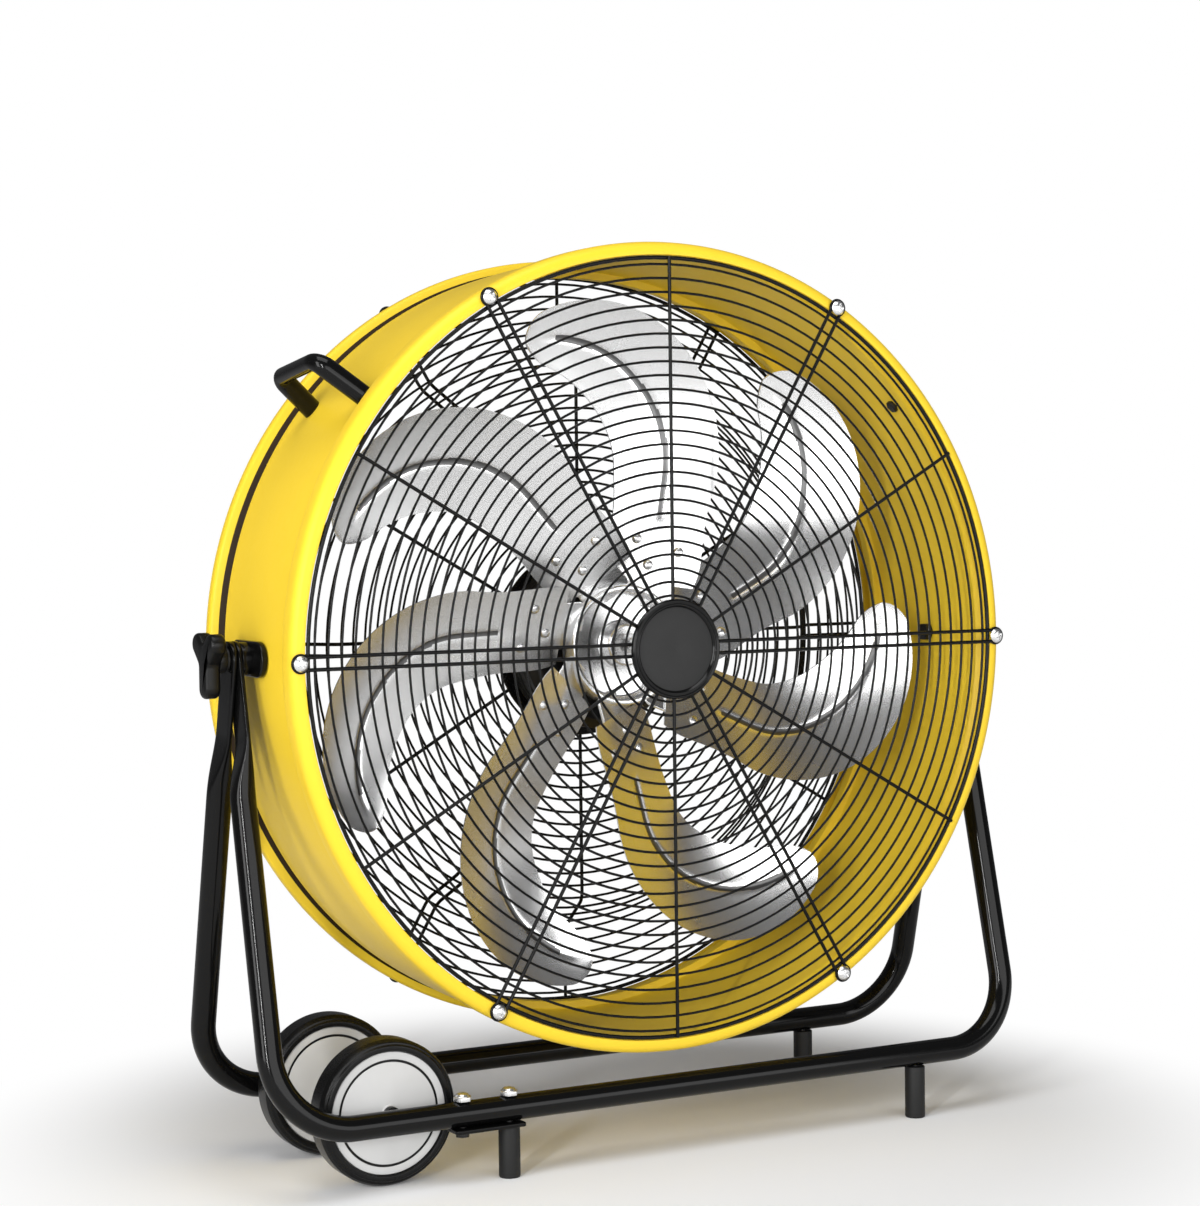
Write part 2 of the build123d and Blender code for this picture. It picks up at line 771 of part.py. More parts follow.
with BuildPart() as wheel_side_plates:
    with BuildSketch(Plane.XY.offset(plate_top)):
        with Locations((plate_middle, -tube_y), (plate_middle, tube_y)):
            RectangleRounded(60, 24, 3)
        with Locations(
            (foot_left, -tube_y), (foot_left, tube_y), (plate_bolt, -tube_y), (plate_bolt, tube_y)
        ):
            Circle(bolt_r + clearance, mode=Mode.SUBTRACT)
    extrude(amount=-foot_plate_thick)
save(wheel_side_plates, "wheel_side_plates")

feet_top = plate_top - foot_plate_thick - clearance
with BuildPart() as wheel_side_feet:
    foot_bodies(foot_left, feet_top)
save(wheel_side_feet, "wheel_side_feet")

with BuildPart() as far_side_feet:
    foot_bodies(foot_right, plate_top)
save(far_side_feet, "far_side_feet")

nut_seat = tube_z + tube_r + clearance
head_seat = feet_top
with BuildPart() as foot_bolts:
    bolts_at(foot_left, feet_top - 18, nut_seat + nut_tall - 1)
    bolts_at(plate_bolt, head_seat, nut_seat + nut_tall - 1)
    bolts_at(foot_right, plate_top - 18, plate_top + 10)
    with BuildSketch(Plane.XY.offset(head_seat)):
        with Locations((plate_bolt, -tube_y), (plate_bolt, tube_y)):
            RegularPolygon(bolt_head_r, 6)
    extrude(amount=-bolt_head)
save(foot_bolts, "foot_bolts")

with BuildPart() as cap_nuts:
    with BuildSketch(Plane.XY.offset(nut_seat)):
        with Locations(
            (foot_left, -tube_y), (foot_left, tube_y), (plate_bolt, -tube_y), (plate_bolt, tube_y)
        ):
            RegularPolygon(7, 6)
            Circle(bolt_r + clearance, mode=Mode.SUBTRACT)
    extrude(amount=nut_tall)
    with BuildSketch(Plane.XY.offset(nut_seat + nut_tall)):
        with Locations(
            (foot_left, -tube_y), (foot_left, tube_y), (plate_bolt, -tube_y), (plate_bolt, tube_y)
        ):
            Circle(5.8)
    extrude(amount=3.5, taper=35)
save(cap_nuts, "cap_nuts")
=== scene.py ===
"""Looks of the tilting drum fan: enamelled drum, wire guards, polished blades and tube stand."""

import math

import bmesh
import bpy
import numpy as np
from mathutils import Matrix, Vector


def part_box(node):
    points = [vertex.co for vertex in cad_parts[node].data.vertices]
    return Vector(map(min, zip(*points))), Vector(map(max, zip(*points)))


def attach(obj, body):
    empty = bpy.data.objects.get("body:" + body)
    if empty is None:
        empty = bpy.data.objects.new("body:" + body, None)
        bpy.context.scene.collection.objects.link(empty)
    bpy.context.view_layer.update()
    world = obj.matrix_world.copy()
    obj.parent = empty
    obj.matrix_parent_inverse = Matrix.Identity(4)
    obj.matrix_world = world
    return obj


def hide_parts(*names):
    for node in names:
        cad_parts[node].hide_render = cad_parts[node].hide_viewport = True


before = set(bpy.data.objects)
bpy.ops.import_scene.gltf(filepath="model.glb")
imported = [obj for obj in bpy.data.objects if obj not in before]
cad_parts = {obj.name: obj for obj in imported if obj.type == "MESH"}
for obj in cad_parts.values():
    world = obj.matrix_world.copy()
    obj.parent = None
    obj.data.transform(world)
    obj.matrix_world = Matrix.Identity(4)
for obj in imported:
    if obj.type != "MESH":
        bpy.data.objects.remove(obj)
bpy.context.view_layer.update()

# ---- sizes in metres, read from the frame where a node gives them ----
MM = 0.001
drum_low, drum_high = (np.array(corner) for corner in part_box("drum_shell"))
DRUM_R = (drum_high[0] - drum_low[0]) / 2
DRUM_HALF = (drum_high[1] - drum_low[1]) / 2
CENTRE = np.array([0.0, 0.0, (drum_low[2] + drum_high[2]) / 2])
BODY_R = DRUM_R - 5 * MM
SHEET = 1.6 * MM
RIM_BAND = 20 * MM
CROWN = 2.4 * MM
SCREW_CIRCLE = DRUM_R - 6.5 * MM
SCREW_ANGLES = range(0, 360, 60)
WIRE_Y = DRUM_HALF + 1.8 * MM
GAP = 0.3 * MM  # left between pieces that touch, so that their faces never coincide


# ---- surfaces on grids ----
def grid_quads(rows, cols, wrap_rows, wrap_cols, first):
    """Corner numbers of the quads between neighbouring grid points."""
    i = np.arange(rows if wrap_rows else rows - 1)[:, None]
    j = np.arange(cols if wrap_cols else cols - 1)[None, :]
    corners = [(i, j), (i + 1, j), (i + 1, j + 1), (i, j + 1)]
    return np.stack([((a % rows) * cols + b % cols + first) for a, b in corners], axis=-1).reshape(-1, 4)


def piece(name, sheets, finish, body, stands_for=(), smooth=40):
    """One mesh from several grids (points, wrap_rows, wrap_cols); open tube ends get a cap."""
    points, faces, first = [], [], 0
    for grid, wrap_rows, wrap_cols in sheets:
        rows, cols = grid.shape[:2]
        points.append(grid.reshape(-1, 3))
        faces += grid_quads(rows, cols, wrap_rows, wrap_cols, first).tolist()
        if wrap_cols and not wrap_rows:
            faces.append((first + np.arange(cols)).tolist())
            faces.append((first + (rows - 1) * cols + np.arange(cols)).tolist())
        first += rows * cols
    mesh = bpy.data.meshes.new(name)
    mesh.from_pydata(np.concatenate(points).tolist(), [], faces)
    made = bpy.data.objects.new(name, mesh)
    bpy.context.scene.collection.objects.link(made)
    tidy_normals(mesh, smooth)
    mesh.materials.append(finish)
    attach(made, body)
    if stands_for:
        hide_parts(*stands_for)
    return made


def tidy_normals(mesh, smooth):
    """Merges doubled points, turns all faces outwards and keeps edges sharper than the angle."""
    work = bmesh.new()
    work.from_mesh(mesh)
    bmesh.ops.remove_doubles(work, verts=work.verts, dist=1e-6)
    bmesh.ops.dissolve_degenerate(work, edges=work.edges, dist=1e-7)
    bmesh.ops.recalc_face_normals(work, faces=work.faces)
    work.to_mesh(mesh)
    work.free()
    mesh.polygons.foreach_set("use_smooth", np.ones(len(mesh.polygons), bool))
    mesh.set_sharp_from_angle(angle=math.radians(smooth))


def unit(vectors):
    """Vectors divided by their lengths."""
    return vectors / np.linalg.norm(vectors, axis=-1, keepdims=True)


def rounded(corners, radius, steps=5):
    """Closed outline with every corner replaced by an arc tangent to both sides.

    The arc is a quadratic blend between the two tangent points, pulled by the
    corner: (1-t)^2 a + 2t(1-t) c + t^2 b, with weights that make it circular.
    """
    c = np.asarray(corners, float)
    radius = np.broadcast_to(radius, len(c))[:, None]
    to_prev, to_next = unit(np.roll(c, 1, 0) - c), unit(np.roll(c, -1, 0) - c)
    cosine = np.clip((to_prev * to_next).sum(1, keepdims=True), -0.9999, 0.9999)
    half = np.arccos(cosine) / 2
    reach = radius / np.tan(half)
    weight = np.sin(half)
    t = np.linspace(0, 1, steps)[None, :, None]
    a, b, mid = (c + to_prev * reach)[:, None], (c + to_next * reach)[:, None], c[:, None]
    w = weight[:, None]
    top = (1 - t) ** 2 * a + 2 * t * (1 - t) * w * mid + t**2 * b
    return (top / ((1 - t) ** 2 + 2 * t * (1 - t) * w + t**2)).reshape(-1, c.shape[1])


def turned(outline, middle, axis, steps=96):
    """Surface of revolution of an outline of (radius, distance along the axis)."""
    outline = np.asarray(outline, float)
    around = np.linspace(0, 2 * np.pi, steps, endpoint=False)
    radial = {
        "x": np.stack([0 * around, np.cos(around), np.sin(around)], -1),
        "y": np.stack([np.cos(around), 0 * around, np.sin(around)], -1),
        "z": np.stack([np.cos(around), np.sin(around), 0 * around], -1),
    }[axis]
    along = {"x": (1, 0, 0), "y": (0, 1, 0), "z": (0, 0, 1)}[axis]
    grid = outline[:, None, :1] * radial[None] + outline[:, None, 1:] * np.array(along, float)
    return grid + np.asarray(middle, float), True, True


def tube(path, side, radius, sides=10, closed=False):
    """Round bar along a flat path: point + radius * (cos a * side + sin a * (tangent x side))."""
    path = np.asarray(path, float)
    if closed:
        tangent = unit(np.roll(path, -1, 0) - np.roll(path, 1, 0))
    else:
        tangent = unit(np.gradient(path, axis=0))
    side = np.broadcast_to(unit(np.asarray(side, float)), path.shape)
    across = np.cross(tangent, side)
    a = np.linspace(0, 2 * np.pi, sides, endpoint=False)[None, :, None]
    r = np.broadcast_to(np.asarray(radius, float).reshape(-1, 1, 1), (len(path), 1, 1))
    return path[:, None] + r * (np.cos(a) * side[:, None] + np.sin(a) * across[:, None]), closed, True


def arc_points(middle, a, b, start, stop, steps):
    """Points middle + a cos t + b sin t, with t in degrees."""
    t = np.radians(np.linspace(start, stop, steps))[:, None]
    return np.asarray(middle) + np.cos(t) * np.asarray(a) + np.sin(t) * np.asarray(b)


def fillet_path(points, radius, steps=9):
    """Open path with its inner corners rounded."""
    p = np.asarray(points, float)
    turns = rounded(p, radius, steps).reshape(len(p), steps, -1)
    return np.concatenate([p[:1], turns[1:-1].reshape(-1, p.shape[1]), p[-1:]])


def ray(angle):
    """Outward direction at an angle in the plane of the fan, counted from +X towards +Z."""
    return np.array([math.cos(math.radians(angle)), 0.0, math.sin(math.radians(angle))])


Y = np.array([0.0, 1.0, 0.0])


# ---- finishes ----
def finish(name, colour, rough, metal=0.0, grain=400.0, bump=0.05, spread=0.06, shade=0.06, shine=0.5):
    """Surface whose colour, gloss and height vary with noise on Object coordinates."""
    made = bpy.data.materials.new(name)
    made.use_nodes = True
    tree = made.node_tree
    shader = tree.nodes["Principled BSDF"]
    shader.inputs["Metallic"].default_value = metal
    shader.inputs["Specular IOR Level"].default_value = shine
    place = tree.nodes.new("ShaderNodeTexCoord")
    fine = noise(tree, place, grain, 3)
    broad = noise(tree, place, grain / 25, 2)
    mix = tree.nodes.new("ShaderNodeMix")
    mix.data_type = "RGBA"
    mix.inputs["A"].default_value = (*[c * (1 - shade) for c in colour], 1)
    mix.inputs["B"].default_value = (*[min(1, c * (1 + shade)) for c in colour], 1)
    tree.links.new(broad.outputs["Fac"], mix.inputs["Factor"])
    tree.links.new(mix.outputs["Result"], shader.inputs["Base Color"])
    gloss = tree.nodes.new("ShaderNodeMapRange")
    gloss.inputs["To Min"].default_value = rough - spread
    gloss.inputs["To Max"].default_value = rough + spread
    tree.links.new(fine.outputs["Fac"], gloss.inputs["Value"])
    tree.links.new(gloss.outputs["Result"], shader.inputs["Roughness"])
    height = tree.nodes.new("ShaderNodeBump")
    height.inputs["Strength"].default_value = bump
    height.inputs["Distance"].default_value = 0.001
    tree.links.new(fine.outputs["Fac"], height.inputs["Height"])
    tree.links.new(height.outputs["Normal"], shader.inputs["Normal"])
    return made


def noise(tree, place, scale, detail):
    """Noise that reads Object coordinates."""
    node = tree.nodes.new("ShaderNodeTexNoise")
    node.inputs["Scale"].default_value = scale
    node.inputs["Detail"].default_value = detail
    tree.links.new(place.outputs["Object"], node.inputs["Vector"])
    return node


yellow_enamel = finish(
    "yellow_enamel", (0.80, 0.555, 0.034), 0.34, grain=300, bump=0.02, shade=0.04, shine=0.14
)
# Painted shade: dark brown put on the groove's walls and floor in place of the deep shadow there.
groove_painted_shade = finish("groove_painted_shade", (0.022, 0.010, 0.001), 0.6, grain=300, bump=0.03, shade=0.2, shine=0.2)
black_wire = finish("black_wire", (0.004, 0.004, 0.004), 0.28, grain=900, bump=0.03, shine=0.15)
black_tube = finish("black_tube", (0.003, 0.003, 0.003), 0.13, grain=500, bump=0.01, spread=0.03, shine=0.2)
black_plastic = finish("black_plastic", (0.004, 0.004, 0.004), 0.30, grain=1500, bump=0.06, shine=0.2)
cap_black = finish("cap_black", (0.004, 0.004, 0.004), 0.14, grain=800, bump=0.02, spread=0.04, shine=0.2)
cap_charcoal = finish("cap_charcoal", (0.024, 0.024, 0.024), 0.5, grain=2500, bump=0.05, shine=0.15)
blade_metal = finish(
    "blade_metal", (0.93, 0.93, 0.93), 0.27, metal=1.0, grain=60, bump=0.002, spread=0.01, shade=0.03
)
# Painted shade: darker metal along the blades' pressed beads, where the steep flanks fall into shadow.
bead_painted_shade = finish("bead_painted_shade", (0.16, 0.16, 0.16), 0.35, metal=1.0, grain=60, bump=0.002, spread=0.01)
hub_metal = finish("hub_metal", (0.84, 0.84, 0.84), 0.26, metal=1.0, grain=80, bump=0.002, spread=0.01)
zinc = finish("zinc", (0.80, 0.80, 0.80), 0.28, metal=1.0, grain=800, bump=0.02)
dark_steel = finish("dark_steel", (0.04, 0.04, 0.04), 0.4, metal=1.0, grain=1200, bump=0.04)
motor_black = finish("motor_black", (0.008, 0.008, 0.008), 0.42, grain=1100, bump=0.08, shine=0.3)
tyre_rubber = finish("tyre_rubber", (0.004, 0.004, 0.004), 0.28, grain=1400, bump=0.06, shine=0.2)
disc_grey = finish("disc_grey", (0.50, 0.50, 0.495), 0.40, grain=1000, bump=0.05, shade=0.08, shine=0.3)
foot_rubber = finish("foot_rubber", (0.007, 0.007, 0.007), 0.5, grain=1600, bump=0.12, shine=0.3)


# ---- drum ----
def crown(y, start, stop):
    """Radius of the drum's body: it falls by CROWN * u^2 towards both rims."""
    u = (2 * y - start - stop) / (stop - start)
    return BODY_R - CROWN * u**2


def drum_outline():
    """Rolled sheet as (radius, depth): outside from front to back, then the inside back again."""
    r, h, t = DRUM_R, DRUM_HALF, SHEET
    edge, groove = r - 11 * MM, r - 14 * MM
    band, ramp = -h + RIM_BAND, -h + RIM_BAND + 6 * MM
    groove_end = h - RIM_BAND + 2 * MM
    groove_start = groove_end - 9 * MM
    body = np.linspace(ramp, groove_start, 13)
    skin = np.stack([crown(body, ramp, groove_start), body], -1)
    outside = [(edge, -h), (r, -h), (r, band), *skin, (groove, groove_start + 1.2 * MM),
               (groove, groove_end), (r - 6.6 * MM, groove_end + 3.4 * MM), (r, h - RIM_BAND + 8 * MM),
               (r, h), (edge, h)]
    radii = [0.7, 8.5, 4, 6, *[0.3] * 11, 1.6, 1, 1, 0.3, 4, 5, 0.7]
    lining = skin[::-1] - [t, 0]
    lining[0, 1] -= 0.8 * MM
    inside = [(edge, h - t), (r - t, h - t), (r - t, h - RIM_BAND + 8.5 * MM), (groove - t, groove_end),
              (groove - t, groove_start), *lining, (r - t, band), (r - t, -h + t), (edge, -h + t)]
    radii += [0.7, 3.5, 3, 1, 1, 1.2, *[0.3] * 11, 6, 3.5, 7, 0.7]
    return rounded(outside + inside, np.array(radii) * MM, 6)


def face_readings(made):
    """Middle and normal of every face of a piece."""
    faces = made.data.polygons
    middle, normal = np.empty(3 * len(faces)), np.empty(3 * len(faces))
    faces.foreach_get("center", middle)
    faces.foreach_get("normal", normal)
    return middle.reshape(-1, 3), normal.reshape(-1, 3)


def give_second_finish(made, second, mask):
    """Puts a second finish on the faces of a mask."""
    made.data.materials.append(second)
    made.data.polygons.foreach_set("material_index", mask.astype(np.int32))


def paint_groove_shade(skin):
    """Paints shade on the faces that look into the groove: dark brown that stands in for the groove's deep
    shadow, not a colour of the enamel.
    """
    middle, normal = face_readings(skin)
    middle -= CENTRE
    r = np.hypot(middle[:, 0], middle[:, 2])
    outward = (middle[:, 0] * normal[:, 0] + middle[:, 2] * normal[:, 2]) / r
    deepest, floor_top, brink = DRUM_R - 14.2 * MM, DRUM_R - 12 * MM, DRUM_R - 6.4 * MM
    y = middle[:, 1] - (DRUM_HALF - RIM_BAND - 2.5 * MM)
    within = (r > deepest) & (r < brink) & (np.abs(y) < 7.6 * MM)
    on_wall = np.where(y < 0, normal[:, 1] > 0.3, normal[:, 1] < -0.12)
    on_floor = (outward > 0.7) & (r < floor_top)
    give_second_finish(skin, groove_painted_shade, within & (on_wall | on_floor))


drum_skin = piece(
    "drum_skin", [turned(drum_outline(), CENTRE, "y", 256)], yellow_enamel, "drum", ["drum_shell"], 35
)
# Painted shade: the faces inside the groove get the dark brown that stands in for its shadow.
paint_groove_shade(drum_skin)


# ---- wire guards ----
WIRE = 1.5 * MM
THIN = 1.05 * MM
PAIR = 4.75 * MM
GUARD_R = SCREW_CIRCLE - 6.7 * MM
EYE_R = 6.2 * MM
SPOKE_START = 34 * MM
SPOKE_BEND = 14 * MM


def ring(radius, y, thick, steps=120):
    """Welded ring: a round bar along the circle of this radius at depth y."""
    path = arc_points(CENTRE + y * Y, radius * ray(0), radius * ray(90), 0, 360, steps + 1)[:-1]
    return tube(path, Y, thick, 8, True)


def spoke_pair(angle, middle, y):
    """One wire out along the spoke, round the screw and back, following (radius, depth) points."""
    out, cross = ray(angle), ray(angle + 90)
    line = np.array(middle + [(SCREW_CIRCLE - EYE_R * 0.64, y)])
    points = CENTRE + line[:, :1] * out + line[:, 1:] * Y
    there = fillet_path(points, SPOKE_BEND, 7) if len(points) > 2 else points
    loop = arc_points(CENTRE + SCREW_CIRCLE * out + y * Y, EYE_R * out, EYE_R * cross, 130, -130, 25)
    return [
        tube(there + PAIR * cross, cross, WIRE, 8),
        tube(there - PAIR * cross, cross, WIRE, 8),
        tube(loop, Y, WIRE, 8),
    ]


def spoke_single(angle, middle, y):
    """One wire out along the spoke to the guard's rim, following (radius, depth) points."""
    out = ray(angle)
    line = np.array(middle + [(GUARD_R + 1 * MM, y)])
    points = CENTRE + line[:, :1] * out + line[:, 1:] * Y
    return tube(fillet_path(points, SPOKE_BEND, 7) if len(points) > 2 else points, ray(angle + 90), WIRE, 8)


def guard(name, middle, y, rings, stands_for):
    """Six double and six single spokes with rings welded to their inner side."""
    wires = [ring(radius, depth, THIN) for radius, depth in rings]
    wires.append(ring(GUARD_R, y - math.copysign(WIRE, y) * 1.6, WIRE * 1.1, 160))
    for angle in SCREW_ANGLES:
        wires += spoke_pair(angle, middle, y)
        wires.append(spoke_single(angle + 30, middle, y))
    piece(name, wires, black_wire, "drum", [stands_for], 60)


first_r, last_r = 42.5 * MM, GUARD_R - 5.2 * MM
front_radii = np.linspace(first_r, last_r, 25)
lift = (WIRE + THIN) * 0.9
guard(
    "front_wires", [(SPOKE_START, -WIRE_Y)], -WIRE_Y,
    [(r, -WIRE_Y + lift) for r in front_radii], "front_grille",
)

recess_y = DRUM_HALF + GAP - 33.3 * MM
recess = recess_y + WIRE
slope_out = GUARD_R - 60.8 * MM
slope_in = slope_out - 29 * MM
dish_radii = np.concatenate([
    np.linspace(83.5 * MM, slope_in - 2 * MM, 14),
    slope_in + (slope_out - slope_in) * np.array([0.25, 0.5, 0.75]),
    np.linspace(slope_out + 2 * MM, last_r, 6),
])
dish_depth = np.interp(dish_radii, [slope_in, slope_out], [recess, WIRE_Y]) - lift
guard(
    "rear_wires", [(SPOKE_START, recess), (slope_in, recess), (slope_out, WIRE_Y)], WIRE_Y,
    list(zip(dish_radii, dish_depth)), "rear_grille",
)


def pan_head(angle, y, outward):
    """Domed screw head with a cross recess: height falls as 1 - (r/R)^3, less the cross."""
    size, tall = 6.0 * MM, 3.0 * MM
    r = np.linspace(0.02, 1, 22)[:, None]
    a = np.linspace(0, 2 * np.pi, 64, endpoint=False)[None, :]
    u, v = np.abs(r * np.cos(a)), np.abs(r * np.sin(a))
    arm = np.clip((0.15 - np.minimum(u, v)) / 0.05, 0, 1) * np.clip((0.62 - np.maximum(u, v)) / 0.1, 0, 1)
    height = tall * (1 - r**3) - 1.5 * MM * arm
    height[-1] = 0
    middle = CENTRE + SCREW_CIRCLE * ray(angle)
    turn = a + math.radians(angle + 20)
    dome = middle + size * r[..., None] * (
        np.cos(turn)[..., None] * ray(0) + np.sin(turn)[..., None] * ray(90)
    ) + (y + outward * (height + GAP))[..., None] * Y
    return dome, False, True


head_y = WIRE_Y + WIRE
piece(
    "front_screw_heads", [pan_head(angle, -head_y, -1) for angle in SCREW_ANGLES],
    zinc, "drum", ["front_guard_screws"], 30,
)
piece(
    "rear_screw_heads", [pan_head(angle, head_y, 1) for angle in SCREW_ANGLES],
    zinc, "drum", ["rear_guard_screws"], 30,
)

# ---- cap ----
cap_back = -WIRE_Y - WIRE - GAP
rim_outline = rounded(
    np.array([(33.6, 0), (40, 0), (40, -3.6), (38.6, -5.2), (36.8, -4.4), (35.4, -5.4), (33.6, -3.2)]) * MM,
    np.array([0.3, 0.8, 1.0, 0.7, 0.6, 0.7, 0.3]) * MM, 5,
)
cap_seat = CENTRE + cap_back * Y
piece("cap_rim", [turned(rim_outline, cap_seat, "y", 128)], cap_black, "drum", ["cap_ring"], 50)
face_outline = rounded(
    np.array([(0.2, 0), (33.9, 0), (33.9, -2.8), (0.2, -3.4)]) * MM, np.array([0.05, 0.5, 0.8, 0.05]) * MM, 5
)
piece("cap_face", [turned(face_outline, cap_seat, "y", 128)], cap_charcoal, "drum", ["cap_disc"], 30)

# ---- fan ----
FAN_Y = -10 * MM
BLADE_REACH = 263 * MM
SHEET_BLADE = 1.6 * MM
ROOT_PITCH, TIP_PITCH = 28.0, 18.0
ARC_TURN = 119.0
BEAD_HALF = 2.7 * MM
BEAD_DEEP = 1.1 * MM
BEAD_SPREAD = 3.0 * MM
CAMBER = 4 * MM
ROUND_TIP = 0.085


def flat_point(radius, angle):
    """Point radius * (cos angle, sin angle) of the fan's plane."""
    return radius * np.array([math.cos(math.radians(angle)), math.sin(math.radians(angle))])


blade_root = flat_point(0.218 * BLADE_REACH, 60.8)
blade_knee = flat_point(0.557 * BLADE_REACH, 72.9)
straight_run = unit(blade_knee - blade_root)
straight_lead = np.array([-straight_run[1], straight_run[0]])
arc_middle = blade_knee + 0.369 * BLADE_REACH * straight_lead


def turn_flat(vectors, degrees):
    """Vectors of the fan's plane turned by these angles."""
    a = np.radians(degrees)
    x, z = vectors[..., 0], vectors[..., 1]
    return np.stack([x * np.cos(a) - z * np.sin(a), x * np.sin(a) + z * np.cos(a)], -1)


def in_fan(flat, forward=0.0):
    """Points (x, z) of the fan's plane, moved forward, in the object's frame."""
    flat = np.asarray(flat)
    forward = np.broadcast_to(forward, flat.shape[:-1])
    return CENTRE + np.stack([flat[..., 0], FAN_Y - forward, flat[..., 1]], -1)


def blade_stations():
    """Places along the middle line: -1 at the root, 0 where the arc starts, 1 at the round tip."""
    run_up = np.linspace(-1, 1 - ROUND_TIP, 64)
    return np.concatenate([run_up, 1 - ROUND_TIP + ROUND_TIP * np.sin(np.linspace(0.08, 1.5, 14))])


def blade(turn):
    """Swept sheet: middle line plus width * t across it, cambered as 1 - t^2, with a pressed bead.

    The line is straight, then an arc; across it the sheet is pitched so that
    the leading edge lies behind the trailing one.
    """
    s = blade_stations()
    on_arc = np.clip(s, 0, 1)
    straight = blade_knee + (blade_knee - blade_root) * np.clip(s, -1, 0)[:, None]
    bent = arc_middle + turn_flat(np.broadcast_to(blade_knee - arc_middle, (len(s), 2)), on_arc * ARC_TURN)
    line = np.where(s[:, None] > 0, bent, straight)
    run = turn_flat(np.broadcast_to(straight_run, (len(s), 2)), on_arc * ARC_TURN)
    pitch = np.radians(ROOT_PITCH + (TIP_PITCH - ROOT_PITCH) * on_arc)
    shares = [-1, -0.55, 0, 0.3, 0.58, 0.84, 1]
    smooth = np.polynomial.Polynomial.fit(shares, [0.236, 0.259, 0.289, 0.312, 0.297, 0.205, 0.112], 5)
    half = smooth(s) * BLADE_REACH / np.cos(pitch) / 2
    half *= np.sqrt(np.clip(1 - np.clip((s - (1 - ROUND_TIP)) / ROUND_TIP, 0, 1) ** 2, 0.0, 1))
    camber = CAMBER * np.interp(s, [-1, -0.55, 0, 0.3, 0.6, 0.84, 1], [0, 0, 0.5, 1, 1, 0.7, 0.2])
    t = np.linspace(-1, 1, 73)
    x = half[:, None] * t
    bead_at = 3.5 * MM * np.interp(s, [-0.4, 0.1, 0.4, 0.7, 1], [0, 0, 1, 1, 0])[:, None]
    bead_on = np.clip((s + 0.42) / 0.08, 0, 1) * np.clip((0.94 - s) / 0.08, 0, 1)
    bead = -BEAD_DEEP * bead_on[:, None] * np.exp(-(((x - bead_at) / BEAD_SPREAD) ** 2))
    depth = -camber[:, None] * (1 - t**2) + bead
    lead = np.stack([-run[:, 1], run[:, 0]], -1)
    cosine, sine = np.cos(pitch)[:, None], np.sin(pitch)[:, None]
    flat = line[:, None] + lead[:, None] * (x * cosine + depth * sine)[..., None]
    forward = -x * sine + depth * cosine
    flat = turn_flat(flat, turn)
    front = in_fan(flat, forward + SHEET_BLADE)
    back = in_fan(flat, forward)
    nearest = np.argmin(np.abs(x - bead_at), axis=1)
    bead_line = front[np.arange(len(s)), nearest][(s > -0.36) & (s < 0.88)]
    return np.concatenate([front, back[:, ::-1]], axis=1), bead_line


def paint_bead_shade(sheet, bead_line):
    """Paints shade on the front faces close to the pressed bead: darker metal that stands in for the shadow on
    its steep flanks.
    """
    middle, normal = face_readings(sheet)
    share = np.linspace(0, len(bead_line) - 1, 500)
    line = np.stack([np.interp(share, np.arange(len(bead_line)), bead_line[:, i]) for i in range(3)], -1)
    gap = np.linalg.norm(middle[:, None] - line[None], axis=-1).min(axis=1)
    give_second_finish(sheet, bead_painted_shade, (gap < BEAD_HALF) & (normal[:, 1] < 0))


blade_turns = np.arange(7) * 360 / 7
for number, turn in enumerate(blade_turns, start=1):
    sheet_grid, bead_line = blade(turn)
    sheet = piece(
        f"blade_sheet_{number}", [(sheet_grid, False, True)], blade_metal, "rotor", [f"blade_{number}"], 45
    )
    # Painted shade: the faces along the bead get the darker metal in place of the bead's shadow.
    paint_bead_shade(sheet, bead_line)


def on_root(flat):
    """Depth of the flat blade root in front of the fan's middle plane."""
    return -math.tan(math.radians(ROOT_PITCH)) * ((np.asarray(flat) - blade_root) @ straight_lead)


def slab(outline, origin, x_dir, y_dir, thick, bevel):
    """Flat plate of an outline, its rims rounded by quarter circles.

    A row at angle a is inset by bevel * (1 - sin a) at the height bevel * (1 - cos a),
    and the same again, turned over, at the other face.
    """
    p = np.asarray(outline, float)
    along = unit(np.roll(p, -1, 0) - np.roll(p, 1, 0))
    inward = np.stack([-along[:, 1], along[:, 0]], -1)
    if np.sum(p[:, 0] * np.roll(p[:, 1], -1) - p[:, 1] * np.roll(p[:, 0], -1)) < 0:
        inward = -inward
    a = np.linspace(0, np.pi / 2, 5)
    inset = bevel * np.concatenate([1 - np.sin(a), 1 - np.cos(a)])
    level = np.concatenate([bevel * (1 - np.cos(a)), thick - bevel * (1 - np.sin(a))])
    flat = p[None] + inset[:, None, None] * inward[None]
    x_dir, y_dir = np.asarray(x_dir, float), np.asarray(y_dir, float)
    up = np.cross(x_dir, y_dir)
    grid = np.asarray(origin) + flat[..., :1] * x_dir + flat[..., 1:] * y_dir + level[:, None, None] * up
    return grid, False, True


def rectangle(width, height, radius, middle=(0, 0), steps=6):
    """Outline of four corners, each rounded by the same radius."""
    w, h = width / 2, height / 2
    box = np.array([(-w, -h), (w, -h), (w, h), (-w, h)]) + np.array(middle)
    return rounded(box, radius, steps)


def circle(radius, steps=48):
    """Outline radius * (cos a, sin a)."""
    a = np.linspace(0, 2 * np.pi, steps, endpoint=False)
    return radius * np.stack([np.cos(a), np.sin(a)], -1)


def hexagon(radius):
    """Circle of six points, its corners rounded a little."""
    return rounded(circle(radius, 6), 0.4 * MM, 3)


